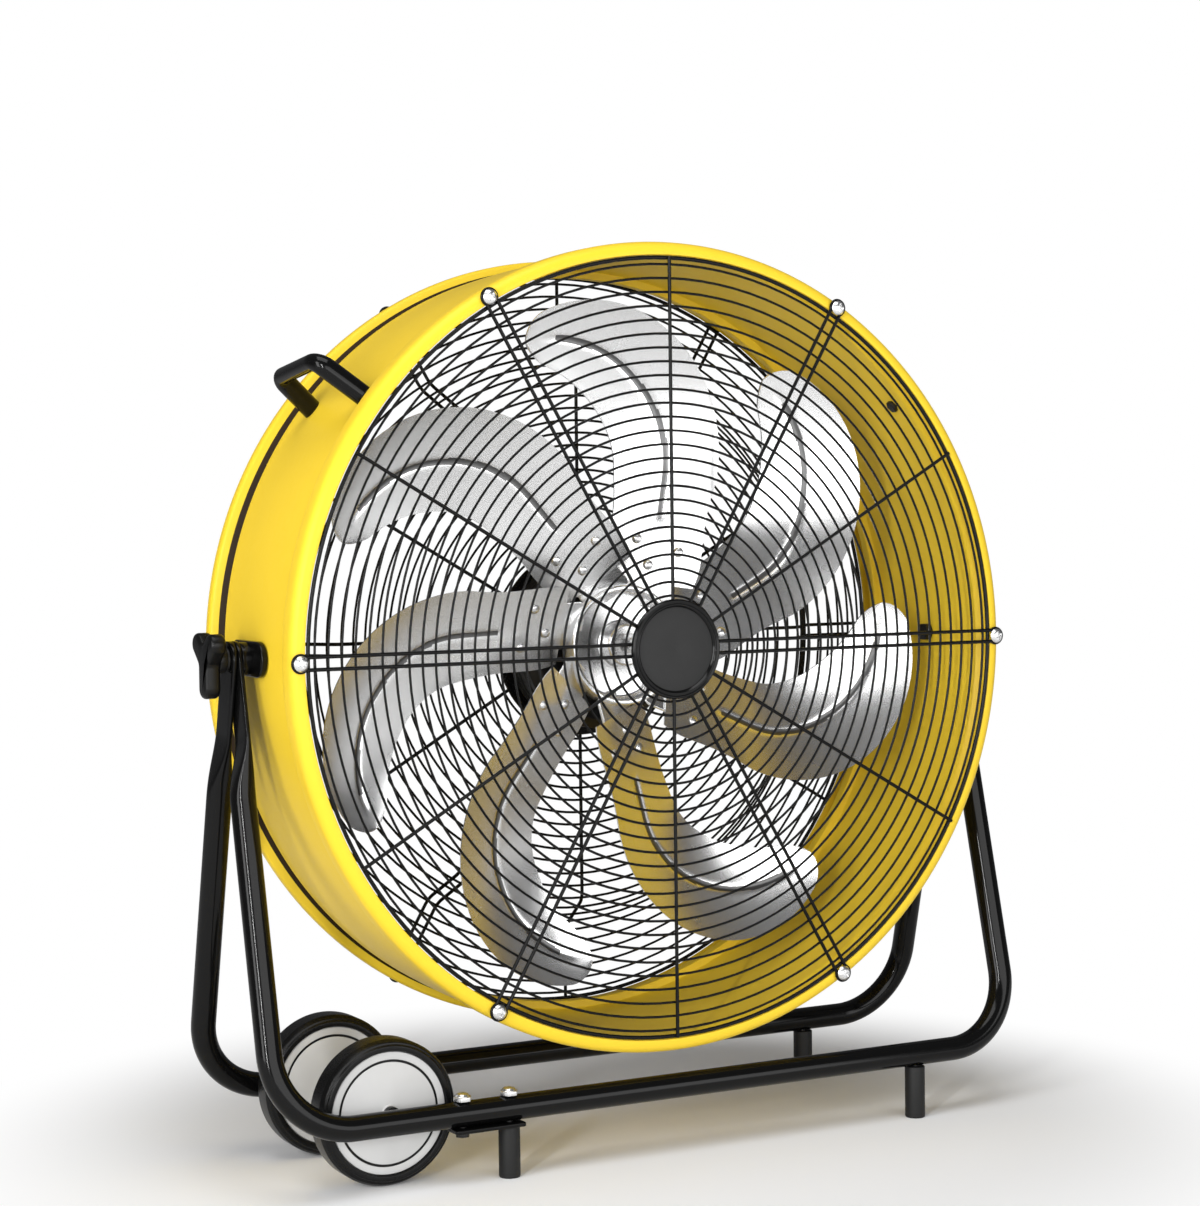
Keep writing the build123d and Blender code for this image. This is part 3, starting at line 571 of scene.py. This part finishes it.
def arm(turn):
    """Pitched plate behind a blade's root, from inside the hub cup outwards."""
    run = turn_flat(straight_run, turn)
    lead = turn_flat(straight_lead, turn)
    pitch = math.radians(ROOT_PITCH)
    x_dir = np.array([lead[0] * math.cos(pitch), math.sin(pitch), lead[1] * math.cos(pitch)])
    y_dir = np.array([run[0], 0, run[1]])
    origin = in_fan(turn_flat(blade_root, turn))
    back = np.cross(x_dir, y_dir)
    back = back if back[1] > 0 else -back
    outline = rectangle(42 * MM, 58 * MM, 7 * MM, (0, 9 * MM))
    if np.cross(x_dir, y_dir) @ back < 0:
        x_dir, outline = -x_dir, outline * [-1, 1]
    return slab(outline, origin + GAP * back, x_dir, y_dir, 2.5 * MM, 0.6 * MM)


def dome(middle, normal, radius, tall):
    """Rivet head: a flattened half sphere, radius * cos u wide at the height tall * sin u."""
    normal = unit(np.asarray(normal, float))
    side = unit(np.cross(normal, [0.0, 0.0, 1.0]))
    other = np.cross(normal, side)
    up = np.linspace(0, 0.5 * np.pi - 0.08, 5)[:, None, None]
    a = np.linspace(0, 2 * np.pi, 14, endpoint=False)[None, :, None]
    ring_r = radius * np.cos(up)
    return middle + ring_r * (np.cos(a) * side + np.sin(a) * other) + tall * np.sin(up) * normal, False, True


RIVET_SPOTS = np.array([(27.5, 65.5), (50.5, 75.5), (20.5, 87.5)]) * MM


def rivets(turn):
    """Three riveted heads in front of a blade root and three behind its arm."""
    made = []
    pitch = math.radians(ROOT_PITCH)
    for spot in RIVET_SPOTS:
        lead = turn_flat(straight_lead, turn)
        normal = np.array([lead[0] * math.sin(pitch), -math.cos(pitch), lead[1] * math.sin(pitch)])
        middle = in_fan(turn_flat(spot, turn), on_root(spot))
        made.append(dome(middle + 1.5 * MM * normal, normal, 4.3 * MM, 2.1 * MM))
        made.append(dome(middle - 2.7 * MM * normal, -normal, 3.4 * MM, 1.6 * MM))
    return made


piece("hub_arms", [arm(turn) for turn in blade_turns], hub_metal, "rotor", ["fan_hub"], 40)
piece("blade_rivets", [r for turn in blade_turns for r in rivets(turn)], zinc, "rotor", (), 40)
cup = rounded(
    np.array([
        (6.2, -12), (16, -12), (17.5, -10), (18, 3), (44.5, 3), (45, -8), (46, -10), (49, -10), (50, -8),
        (50, 10), (48, 12), (6.2, 12),
    ]) * MM,
    np.array([0.3, 1, 1, 3, 3, 1, 1, 1.5, 1, 1.5, 1, 0.3]) * MM, 5,
)
piece("hub_cup", [turned(cup, CENTRE + FAN_Y * Y, "y", 128)], hub_metal, "rotor", (), 35)
hub_front = FAN_Y - 10 * MM


def nut(middle, normal, radius, tall):
    """Hexagon with rounded corners, lying on middle and growing along normal."""
    normal = unit(np.asarray(normal, float))
    x_dir = unit(np.cross([0.0, 0.0, 1.0], normal)) if abs(normal[2]) < 0.9 else np.array([1.0, 0, 0])
    return slab(hexagon(radius), middle, x_dir, np.cross(normal, x_dir), tall, 0.5 * MM)


def bar(start, stop, radius, bevel=0.6 * MM, sides=24):
    """Round bar between two points, its radius less bevel * (1 - sin a) where the rims are rounded."""
    start, stop = np.asarray(start, float), np.asarray(stop, float)
    length = np.linalg.norm(stop - start)
    along = (stop - start) / length
    side = unit(np.cross(along, [0.3, 0.5, 0.8]))
    a = np.linspace(0, np.pi / 2, 5)
    shift = np.concatenate([bevel * (1 - np.cos(a)), length - bevel * (1 - np.cos(a[::-1]))])
    r = np.concatenate([radius - bevel * (1 - np.sin(a)), radius - bevel * (1 - np.sin(a[::-1]))])
    around = np.linspace(0, 2 * np.pi, sides, endpoint=False)[None, :, None]
    ring_dir = np.cos(around) * side + np.sin(around) * np.cross(along, side)
    return start + shift[:, None, None] * along + r[:, None, None] * ring_dir, False, True


piece(
    "hub_nut_hex",
    [nut(CENTRE + (hub_front - GAP) * Y, -Y, 11 * MM, 6 * MM)],
    zinc, "rotor", ["hub_nut"], 30,
)
piece(
    "shaft_bar", [bar(CENTRE + (hub_front - 8 * MM) * Y, CENTRE + 36 * MM * Y, 6 * MM, 1.2 * MM, 32)],
    zinc, "rotor", ["motor_shaft"], 40,
)

# ---- motor ----
motor_back = recess_y - 3.3 * MM
fins = []
for start in (42, 47, 52):
    fins += [(72, start), (68.5, start + 0.6), (68.5, start + 2.6), (72, start + 3.2)]
shell = [
    (6.4, 12), (21, 12), (24, 14), (24, 17.5), (33, 17.5), (36, 20), (60, 17), (64, 16), (72, 24),
    (72, 30), (69.5, 31), (69.5, 34), (72, 35),
] + fins + [(72, motor_back / MM - 2), (68, motor_back / MM), (6.4, motor_back / MM)]
motor_outline = rounded(np.array(shell) * MM, 0.5 * MM, 4)
piece("motor_shell", [turned(motor_outline, CENTRE, "y", 160)], motor_black, "drum", ["motor_housing"], 35)
back_plate = rounded(
    np.array([(0.3, 0.3), (79, 0.3), (80, 1.2), (80, 2.4), (79, 3), (0.3, 3)]) * MM,
    np.array([0.1, 0.4, 0.3, 0.3, 0.4, 0.1]) * MM, 4,
)
piece(
    "motor_back_plate", [turned(back_plate, CENTRE + motor_back * Y, "y", 128)],
    black_wire, "drum", ["motor_plate"], 30,
)
seat = recess_y + 3.3 * MM
bolt_spots = [CENTRE + 64 * MM * ray(angle) + seat * Y for angle in SCREW_ANGLES]
piece(
    "motor_bolt_heads",
    [nut(spot, Y, 9.5 * MM, 4 * MM) for spot in bolt_spots]
    + [bar(spot - 17 * MM * Y, spot, 2.7 * MM) for spot in bolt_spots],
    zinc, "drum", ["motor_bolts"], 30,
)

# ---- switch box, knob and gland ----
facing_rear = (np.array([-1.0, 0, 0]), np.array([0, 0, 1.0]))
piece(
    "switch_case",
    [slab(rectangle(86 * MM, 64 * MM, 5 * MM), CENTRE + seat * Y, *facing_rear, 22 * MM, 2.5 * MM),
     slab(rectangle(74 * MM, 52 * MM, 4 * MM), CENTRE + (seat + 20.5 * MM) * Y,
          *facing_rear, 3 * MM, 0.8 * MM)],
    black_plastic, "drum", ["switch_box"], 35,
)
GRIP_RIBS = 18
round_knob = np.linspace(0, 2 * np.pi, 120, endpoint=False)
grip = 16.4 * MM + 0.5 * MM * np.cos(GRIP_RIBS * round_knob)
grip_outline = np.stack([grip * np.cos(round_knob), grip * np.sin(round_knob)], -1)
knob_face = seat + 23.8 * MM
piece(
    "speed_knob_grip",
    [slab(grip_outline, CENTRE + knob_face * Y, *facing_rear, 12 * MM, 1 * MM),
     slab(rectangle(6.8 * MM, 30 * MM, 3 * MM), CENTRE + (knob_face + 11.5 * MM) * Y,
          *facing_rear, 3.5 * MM, 1 * MM)],
    black_plastic, "speed_switch", ["speed_knob"], 35,
)
gland_low = CENTRE + np.array([0, seat + 11.75 * MM, -32 * MM])
gland = rounded(
    np.array([
        (3.6, 6.5), (5.9, 6.5), (5.9, -0.2), (8.2, -0.4), (8.2, -5.2), (7, -5.6), (6.6, -12), (3.6, -12),
    ]) * MM,
    np.array([0.3, 0.3, 0.3, 0.6, 0.8, 0.3, 1.5, 0.3]) * MM, 4,
)
piece("gland_sleeve", [turned(gland, gland_low, "z", 48)], black_plastic, "drum", ["cord_gland"], 35)

# ---- handle and wall bolt ----
foot_r = BODY_R - 1.6 * MM
HANDLE_ANGLE = 142
bow_corners = [
    (foot_r, 141.4, -67), (BODY_R + 46 * MM, 141.6, -59), (BODY_R + 39 * MM, 142.4, 22), (foot_r, 142.6, 33),
]
bow = fillet_path([CENTRE + reach * ray(turn) + y * MM * Y for reach, turn, y in bow_corners], 11 * MM, 13)
bow_r = 8.2 * MM - 1.6 * MM * np.sin(np.linspace(0, np.pi, len(bow))) ** 2
piece("handle_bow", [tube(bow, ray(HANDLE_ANGLE + 90), bow_r, 32)], black_tube, "drum", ["carry_handle"], 50)


def wall_head(angle, y):
    """Hexagon head inside the drum wall, growing inwards."""
    return nut(CENTRE + (BODY_R - SHEET - GAP) * ray(angle) + y * Y, -ray(angle), 5.8 * MM, 4 * MM)


piece(
    "handle_bolt_heads", [wall_head(HANDLE_ANGLE, -63 * MM), wall_head(HANDLE_ANGLE, 31 * MM)],
    zinc, "drum", ["handle_bolts"], 30,
)
LONE_ANGLE = 38.7
lone = CENTRE + (BODY_R + GAP) * ray(LONE_ANGLE) - 50 * MM * Y
piece(
    "wall_bolt_head", [wall_head(LONE_ANGLE, -50 * MM), bar(lone, lone + 2 * MM * ray(LONE_ANGLE), 5 * MM)],
    dark_steel, "drum", ["wall_bolt"], 30,
)


# ---- pivots ----
def knob_outline():
    """Three rounded lobes 17 mm wide, the lower one longer, with soft valleys between them."""
    corners, radii = [], []
    for lobe, reach, valley in ((-90, 30, (8.5, -4.0)), (40, 27, (0, 11.1)), (140, 27, (-8.5, -4.0))):
        out, cross = flat_point(1, lobe), flat_point(1, lobe + 90)
        corners += [reach * out - 8.5 * cross, reach * out + 8.5 * cross, valley]
        radii += [8.4, 8.4, 5]
    return rounded(np.array(corners) * MM, np.array(radii) * MM, 14)


for name, out in (("left", -1), ("right", 1)):
    x_dir, y_dir = np.array([0, float(out), 0]), np.array([0, 0, 1.0])
    saddle = CENTRE + np.array([out * (BODY_R + GAP), 0, 0])
    slot = rectangle(70 * MM, 28 * MM, 13.9 * MM, steps=14)
    piece(
        f"pivot_plate_{name}",
        [slab(slot, saddle, x_dir, y_dir, 5 * MM, 1.2 * MM),
         slab(circle(13 * MM), saddle, x_dir, y_dir, 11.7 * MM, 0.8 * MM)],
        black_tube, "drum", [f"pivot_bracket_{name}"], 35,
    )
    inner = CENTRE + np.array([out * (BODY_R - SHEET - GAP), 0, 0])
    axis = np.array([float(out), 0, 0])
    piece(
        f"pivot_stud_{name}",
        [nut(inner, -axis, 8 * MM, 6 * MM), bar(inner, inner + 38 * MM * axis, 3.9 * MM)],
        dark_steel, "drum", [f"pivot_bolt_{name}"], 30,
    )
    eyes_end = CENTRE + np.array([out * (DRUM_R + 15.9 * MM), 0, 0])
    knob_at = eyes_end + 2.3 * MM * axis
    piece(
        f"knob_washer_{name}", [slab(circle(10 * MM), eyes_end, x_dir, y_dir, 2 * MM, 0.5 * MM)],
        dark_steel, "stand", ["knob_washers"] if name == "right" else (), 30,
    )
    piece(
        f"clamp_knob_{name}",
        [slab(knob_outline(), knob_at + 5 * MM * axis, x_dir, y_dir, 13 * MM, 3.4 * MM),
         slab(circle(11 * MM), knob_at, x_dir, y_dir, 6 * MM, 0.8 * MM)],
        black_plastic, f"{name}_clamp", [f"tilt_knob_{name}"], 50,
    )

# ---- leg frames ----
TUBE_R = 10 * MM
TUBE_BEND = 62 * MM
TUBE_Z = 54 * MM
TUBE_Y = DRUM_HALF - 8 * MM
LEG_X = DRUM_R + 14 * MM
drop = CENTRE[2] - TUBE_Z
leg_length = math.hypot(drop, TUBE_Y)


def leg_frame(side, eye_x):
    """Bent tube whose section changes from a circle to a flat bar at both pivots.

    The section is the superellipse |u/a|^p + |v/b|^p = 1, with p from 2 in the
    tube to 6 in the flat; b follows sqrt(r^2 - s^2) round the end of the eye.
    """
    down = np.array([0, side * TUBE_Y, -drop]) / leg_length
    normal = np.array([0, drop, side * TUBE_Y]) / leg_length
    eye = 14 * MM
    tip = -eye * np.cos(np.linspace(0.06, np.pi / 2, 10))
    s = np.concatenate([tip, np.linspace(4, 58, 8) * MM, np.linspace(60, 112, 16) * MM])
    blend = np.clip((s - 60 * MM) / (52 * MM), 0, 1)
    blend = blend * blend * (3 - 2 * blend)
    x = (eye_x + 2 * MM) * (1 - blend) + LEG_X * blend
    half = np.stack([x, s], -1)
    turns = rounded([(LEG_X, 0), (LEG_X, leg_length), (0, leg_length)], np.array([1e-6, TUBE_BEND, 1e-6]), 25)
    bend = turns[25:50]
    foot_run = np.stack([np.linspace(bend[-1, 0], 0, 12)[1:-1], np.full(10, leg_length)], -1)
    leg_run = np.stack([np.full(8, LEG_X), np.linspace(s[-1], bend[0, 1], 10)[1:-1]], -1)
    half = np.concatenate([half, leg_run, bend, foot_run])
    b = np.full(len(half), TUBE_R)
    a = np.full(len(half), TUBE_R)
    p = np.full(len(half), 2.0)
    n = len(s)
    a[:n] = 2 * MM + (TUBE_R - 2 * MM) * blend
    b[:n] = np.where(s < 0, np.sqrt(np.clip(eye**2 - s**2, 0, None)), eye + (TUBE_R - eye) * blend)
    p[:n] = 6 - 4 * blend
    flat = np.concatenate([half, half[::-1] * [-1, 1]])
    a, b, p = (np.concatenate([v, v[::-1]])[:, None, None] for v in (a, b, p))
    points = CENTRE + flat[:, :1] * np.array([1.0, 0, 0]) + flat[:, 1:] * down
    tangent = unit(np.gradient(points, axis=0))
    across = unit(np.cross(tangent, normal))
    t = np.linspace(0, 2 * np.pi, 36, endpoint=False)[None, :, None]
    u = np.sign(np.cos(t)) * np.abs(np.cos(t)) ** (2 / p)
    v = np.sign(np.sin(t)) * np.abs(np.sin(t)) ** (2 / p)
    return points[:, None] + a * u * across[:, None] + b * v * normal, False, True


boss = DRUM_R + 7.3 * MM
piece("front_tube", [leg_frame(-1, boss)], black_tube, "stand", ["front_frame"], 40)
piece("rear_tube", [leg_frame(1, boss + 4.3 * MM)], black_tube, "stand", ["rear_frame"], 40)

# ---- wheels ----
WHEEL_R = 57 * MM
WHEEL_X = 99 * MM - LEG_X
WHEEL_Y = TUBE_Y - 32 * MM
tread = rounded(
    np.array([
        (47.9, -12.6), (48.6, -14), (52.2, -14), (53.2, -12.6), (55, -12.2), (57, -8.5), (57, 8.5), (55, 12.2),
        (53.2, 12.6), (52.2, 14), (48.6, 14), (47.9, 12.6),
    ]) * MM,
    np.array([0.3, 1.0, 1.2, 0.6, 1.6, 3, 3, 1.6, 0.6, 1.2, 1.0, 0.3]) * MM, 5,
)
disc = rounded(
    np.array([
        (4.7, -14), (6, -14), (6.6, -12), (39.6, -12), (39.6, -10.6), (41.6, -10.6), (41.6, -12), (47.5, -12),
        (47.5, 12), (41.6, 12), (41.6, 10.6), (39.6, 10.6), (39.6, 12), (6.6, 12), (6, 14), (4.7, 14),
    ]) * MM,
    np.array([0.3, 0.6, 0.6, 0.3, 0.2, 0.2, 0.3, 0.7, 0.7, 0.3, 0.2, 0.2, 0.3, 0.6, 0.6, 0.3]) * MM, 4,
)


def groove_shade_ring(depth):
    """Outline of the thin black ring that lies in the groove of a wheel disc: painted shade standing in for
    the groove's shadow.
    """
    near, far, top = 39.65, 41.55, depth + 0.6
    return rounded(np.array([(near, depth), (far, depth), (far, top), (near, top)]) * MM, 0.1 * MM, 3)


for name, side in (("front", -1), ("rear", 1)):
    middle = np.array([WHEEL_X, side * WHEEL_Y, WHEEL_R])
    piece(
        f"tyre_tread_{name}", [turned(tread, middle, "y", 128)],
        tyre_rubber, f"{name}_wheel", [f"tyre_{name}"], 40,
    )
    piece(
        f"wheel_plate_{name}", [turned(disc, middle, "y", 128)],
        disc_grey, f"{name}_wheel", [f"wheel_disc_{name}"], 30,
    )
    # Painted shade: black rings laid in the disc grooves, where there is only the grooves' shadow.
    shade_rings = [turned(groove_shade_ring(depth), middle, "y", 128) for depth in (-11.6, 11.0)]
    piece(f"wheel_groove_shade_{name}", shade_rings, black_plastic, f"{name}_wheel", (), 30)
hub_line = np.array([WHEEL_X, 0, WHEEL_R])
rod_end = (TUBE_Y - 4.2 * MM) * Y
piece(
    "axle_rod", [bar(hub_line - rod_end, hub_line + rod_end, 4.5 * MM, 0.5 * MM, 32)],
    zinc, "stand", ["wheel_axle"], 40,
)


def sleeve(start, stop):
    """Spacer turned about the axle: a short pipe between two depths."""
    walls = np.array([(4.9 * MM, start), (6.2 * MM, start), (6.2 * MM, stop), (4.9 * MM, stop)])
    return turned(rounded(walls, 0.5 * MM, 4), hub_line, "y", 48)


inside = TUBE_Y - 46.3 * MM
outside_start = TUBE_Y - 17.7 * MM
piece(
    "axle_spacers",
    [sleeve(-inside, inside), sleeve(outside_start, outside_start + 6 * MM),
     sleeve(-outside_start - 6 * MM, -outside_start)],
    black_plastic, "stand", ["axle_sleeves"], 35,
)

# ---- feet, plates and nuts ----
FOOT_X = 192 * MM - LEG_X
PLATE_BOLT_X = FOOT_X - 40 * MM
FAR_FOOT_X = LEG_X - 101 * MM
PLATE = 3 * MM
STUD_R = 2.9 * MM
plate_top = TUBE_Z - TUBE_R - GAP
both = (-TUBE_Y, TUBE_Y)
flat_x, flat_y = np.array([1.0, 0, 0]), np.array([0, 1.0, 0])
plate_x, plate_low = (FOOT_X + PLATE_BOLT_X) / 2, plate_top - PLATE
piece(
    "foot_plates",
    [slab(rectangle(60 * MM, 24 * MM, 3 * MM), (plate_x, y, plate_low), flat_x, flat_y, PLATE, 0.6 * MM)
     for y in both],
    black_tube, "stand", ["wheel_side_plates"], 30,
)


def foot(x, y, top):
    """Turned rubber foot: a plain post, flat on the floor."""
    outline = rounded(
        np.array([(0.2, 0), (8.0, 0), (8.5, 1.2), (8.5, top / MM), (0.2, top / MM)]) * MM,
        np.array([0.05, 0.4, 0.8, 0.8, 0.05]) * MM, 5,
    )
    return turned(outline, (x, y, 0), "z", 40)


piece(
    "rubber_feet_near_wheels", [foot(FOOT_X, y, plate_top - 3.3 * MM) for y in both],
    foot_rubber, "stand", ["wheel_side_feet"], 35,
)
piece(
    "rubber_feet_far", [foot(FAR_FOOT_X, y, plate_top) for y in both],
    foot_rubber, "stand", ["far_side_feet"], 35,
)
nut_seat = TUBE_Z + TUBE_R + GAP
shanks = []
for y in both:
    shanks += [
        bar((FOOT_X, y, plate_top - 21 * MM), (FOOT_X, y, nut_seat + 3 * MM), STUD_R, sides=16),
        bar((PLATE_BOLT_X, y, plate_top - 3.3 * MM), (PLATE_BOLT_X, y, nut_seat + 3 * MM), STUD_R, sides=16),
        bar((FAR_FOOT_X, y, plate_top - 18 * MM), (FAR_FOOT_X, y, plate_top + 10 * MM), STUD_R, sides=16),
        nut((PLATE_BOLT_X, y, plate_top - 7.3 * MM), (0, 0, 1), 5.8 * MM, 4 * MM),
    ]
piece("foot_studs", shanks, dark_steel, "stand", ["foot_bolts"], 30)


def cap_nut(x, y):
    """Hexagon with a ball top, turned from a rounded outline."""
    top = rounded(
        np.array([(0.1, 3), (5.9, 3), (5.9, 3.8), (4.6, 5.7), (2, 6.4), (0.1, 6.4)]) * MM,
        np.array([0.03, 0.1, 0.5, 1.5, 1.2, 0.03]) * MM, 6,
    )
    return [nut((x, y, nut_seat), (0, 0, 1), 7.6 * MM, 3.6 * MM), turned(top, (x, y, nut_seat), "z", 32)]


piece(
    "domed_nuts", [part for y in both for x in (FOOT_X, PLATE_BOLT_X) for part in cap_nut(x, y)],
    zinc, "stand", ["cap_nuts"], 30,
)

# ---- floor, backdrop, lamps and camera ----
ring_r = np.concatenate([[0.02], np.geomspace(0.2, 60, 40)])
around = np.linspace(0, 2 * np.pi, 96, endpoint=False)
floor_grid = np.stack([
    ring_r[:, None] * np.cos(around), ring_r[:, None] * np.sin(around), 0 * ring_r[:, None] * around,
], -1)
FADE_FROM, FADE_TO = 0.32, 0.60
AHEAD_FROM, AHEAD_TO = -0.1, -0.4


def combine(tree, operation, first, second):
    """Maths node of two outputs."""
    node = tree.nodes.new("ShaderNodeMath")
    node.operation = operation
    tree.links.new(first, node.inputs[0])
    tree.links.new(second, node.inputs[1])
    return node.outputs["Value"]


def floor_finish():
    """Pale floor that turns into plain white further out.

    The camera sees the white all round, and reflections only see it ahead of the fan.
    """
    made = bpy.data.materials.new("studio_floor")
    made.use_nodes = True
    tree = made.node_tree
    shader = tree.nodes["Principled BSDF"]
    shader.inputs["Base Color"].default_value = (0.94, 0.94, 0.94, 1)
    shader.inputs["Roughness"].default_value = 0.9
    shader.inputs["Specular IOR Level"].default_value = 0.1
    white = tree.nodes.new("ShaderNodeEmission")
    white.inputs["Color"].default_value = (1, 1, 1, 1)
    place = tree.nodes.new("ShaderNodeTexCoord")
    length = tree.nodes.new("ShaderNodeVectorMath")
    length.operation = "LENGTH"
    tree.links.new(place.outputs["Object"], length.inputs[0])
    fade = tree.nodes.new("ShaderNodeMapRange")
    fade.interpolation_type = "SMOOTHSTEP"
    fade.inputs["From Min"].default_value = FADE_FROM
    fade.inputs["From Max"].default_value = FADE_TO
    tree.links.new(length.outputs["Value"], fade.inputs["Value"])
    split = tree.nodes.new("ShaderNodeSeparateXYZ")
    tree.links.new(place.outputs["Object"], split.inputs["Vector"])
    ahead = tree.nodes.new("ShaderNodeMapRange")
    ahead.inputs["From Min"].default_value = AHEAD_FROM
    ahead.inputs["From Max"].default_value = AHEAD_TO
    tree.links.new(split.outputs["Y"], ahead.inputs["Value"])
    seen = tree.nodes.new("ShaderNodeLightPath")
    mirrored = combine(tree, "MULTIPLY", seen.outputs["Is Glossy Ray"], ahead.outputs["Result"])
    either = combine(tree, "MAXIMUM", seen.outputs["Is Camera Ray"], mirrored)
    share = combine(tree, "MULTIPLY", fade.outputs["Result"], either)
    mix = tree.nodes.new("ShaderNodeMixShader")
    tree.links.new(share, mix.inputs["Fac"])
    tree.links.new(shader.outputs["BSDF"], mix.inputs[1])
    tree.links.new(white.outputs["Emission"], mix.inputs[2])
    tree.links.new(mix.outputs["Shader"], tree.nodes["Material Output"].inputs["Surface"])
    return made


floor_mesh = bpy.data.meshes.new("studio_floor")
floor_faces = grid_quads(len(ring_r), len(around), False, True, 0).tolist()
floor_faces.append(list(range(len(around))))
floor_mesh.from_pydata(floor_grid.reshape(-1, 3).tolist(), [], floor_faces)
floor = bpy.data.objects.new("studio_floor", floor_mesh)
bpy.context.scene.collection.objects.link(floor)
tidy_normals(floor_mesh, 40)
floor_mesh.materials.append(floor_finish())

world = bpy.data.worlds.new("pale_room")
bpy.context.scene.world = world
world.use_nodes = True
room = world.node_tree
soft = room.nodes["Background"]
soft.inputs["Color"].default_value = (0.96, 0.97, 1.0, 1)
soft.inputs["Strength"].default_value = 0.14
plain = room.nodes.new("ShaderNodeBackground")
plain.inputs["Color"].default_value = (1, 1, 1, 1)
path = room.nodes.new("ShaderNodeLightPath")
choose = room.nodes.new("ShaderNodeMixShader")
room.links.new(path.outputs["Is Camera Ray"], choose.inputs["Fac"])
room.links.new(soft.outputs["Background"], choose.inputs[1])
room.links.new(plain.outputs["Background"], choose.inputs[2])
room.links.new(choose.outputs["Shader"], room.nodes["World Output"].inputs["Surface"])


def lamp(name, place, aim, size, watts):
    """Rectangular area lamp at a place, turned towards its aim."""
    data = bpy.data.lights.new(name, "AREA")
    data.shape = "RECTANGLE"
    data.size, data.size_y = size
    data.energy = watts
    made = bpy.data.objects.new(name, data)
    made.location = place
    made.rotation_euler = (Vector(aim) - Vector(place)).to_track_quat("-Z", "Y").to_euler()
    bpy.context.scene.collection.objects.link(made)


lamp("lamp_top", (-0.5, -0.6, 2.4), (0, 0, 0.4), (1.6, 1.4), 24)
lamp("lamp_left", (-2.5, -0.9, 1.0), (0, 0, 0.4), (0.7, 1.7), 27)
lamp("lamp_front", (0.1, -2.4, 0.64), (0, 0, 0.5), (3.2, 1.25), 38)
lamp("lamp_strip", (-2.3, -2.1, 0.9), (0, 0, 0.4), (0.06, 1.4), 42)

FOCAL_PX, FRAME_PX = 2567.5, 1206  # focal length and frame height of the fitted camera, in pixels
camera_data = bpy.data.cameras.new("photo_camera")
camera_data.sensor_width = 36
camera_data.lens = 36 * FOCAL_PX / FRAME_PX
camera_data.clip_start = 0.05
camera_data.clip_end = 200
camera = bpy.data.objects.new("photo_camera", camera_data)
bpy.context.scene.collection.objects.link(camera)
camera_right = (0.8810, -0.47297, -0.01193)
camera_up = (0.02733, 0.0257, 0.9993)
camera_back = (-0.47233, -0.88071, 0.03557)
camera_spot = (-1.02045, -1.87715, 0.51835)
turned_axes = zip(camera_right, camera_up, camera_back, camera_spot)
camera.matrix_world = Matrix([*map(list, turned_axes), [0, 0, 0, 1]])
bpy.context.scene.camera = camera
bpy.context.scene.view_settings.view_transform = "Standard"
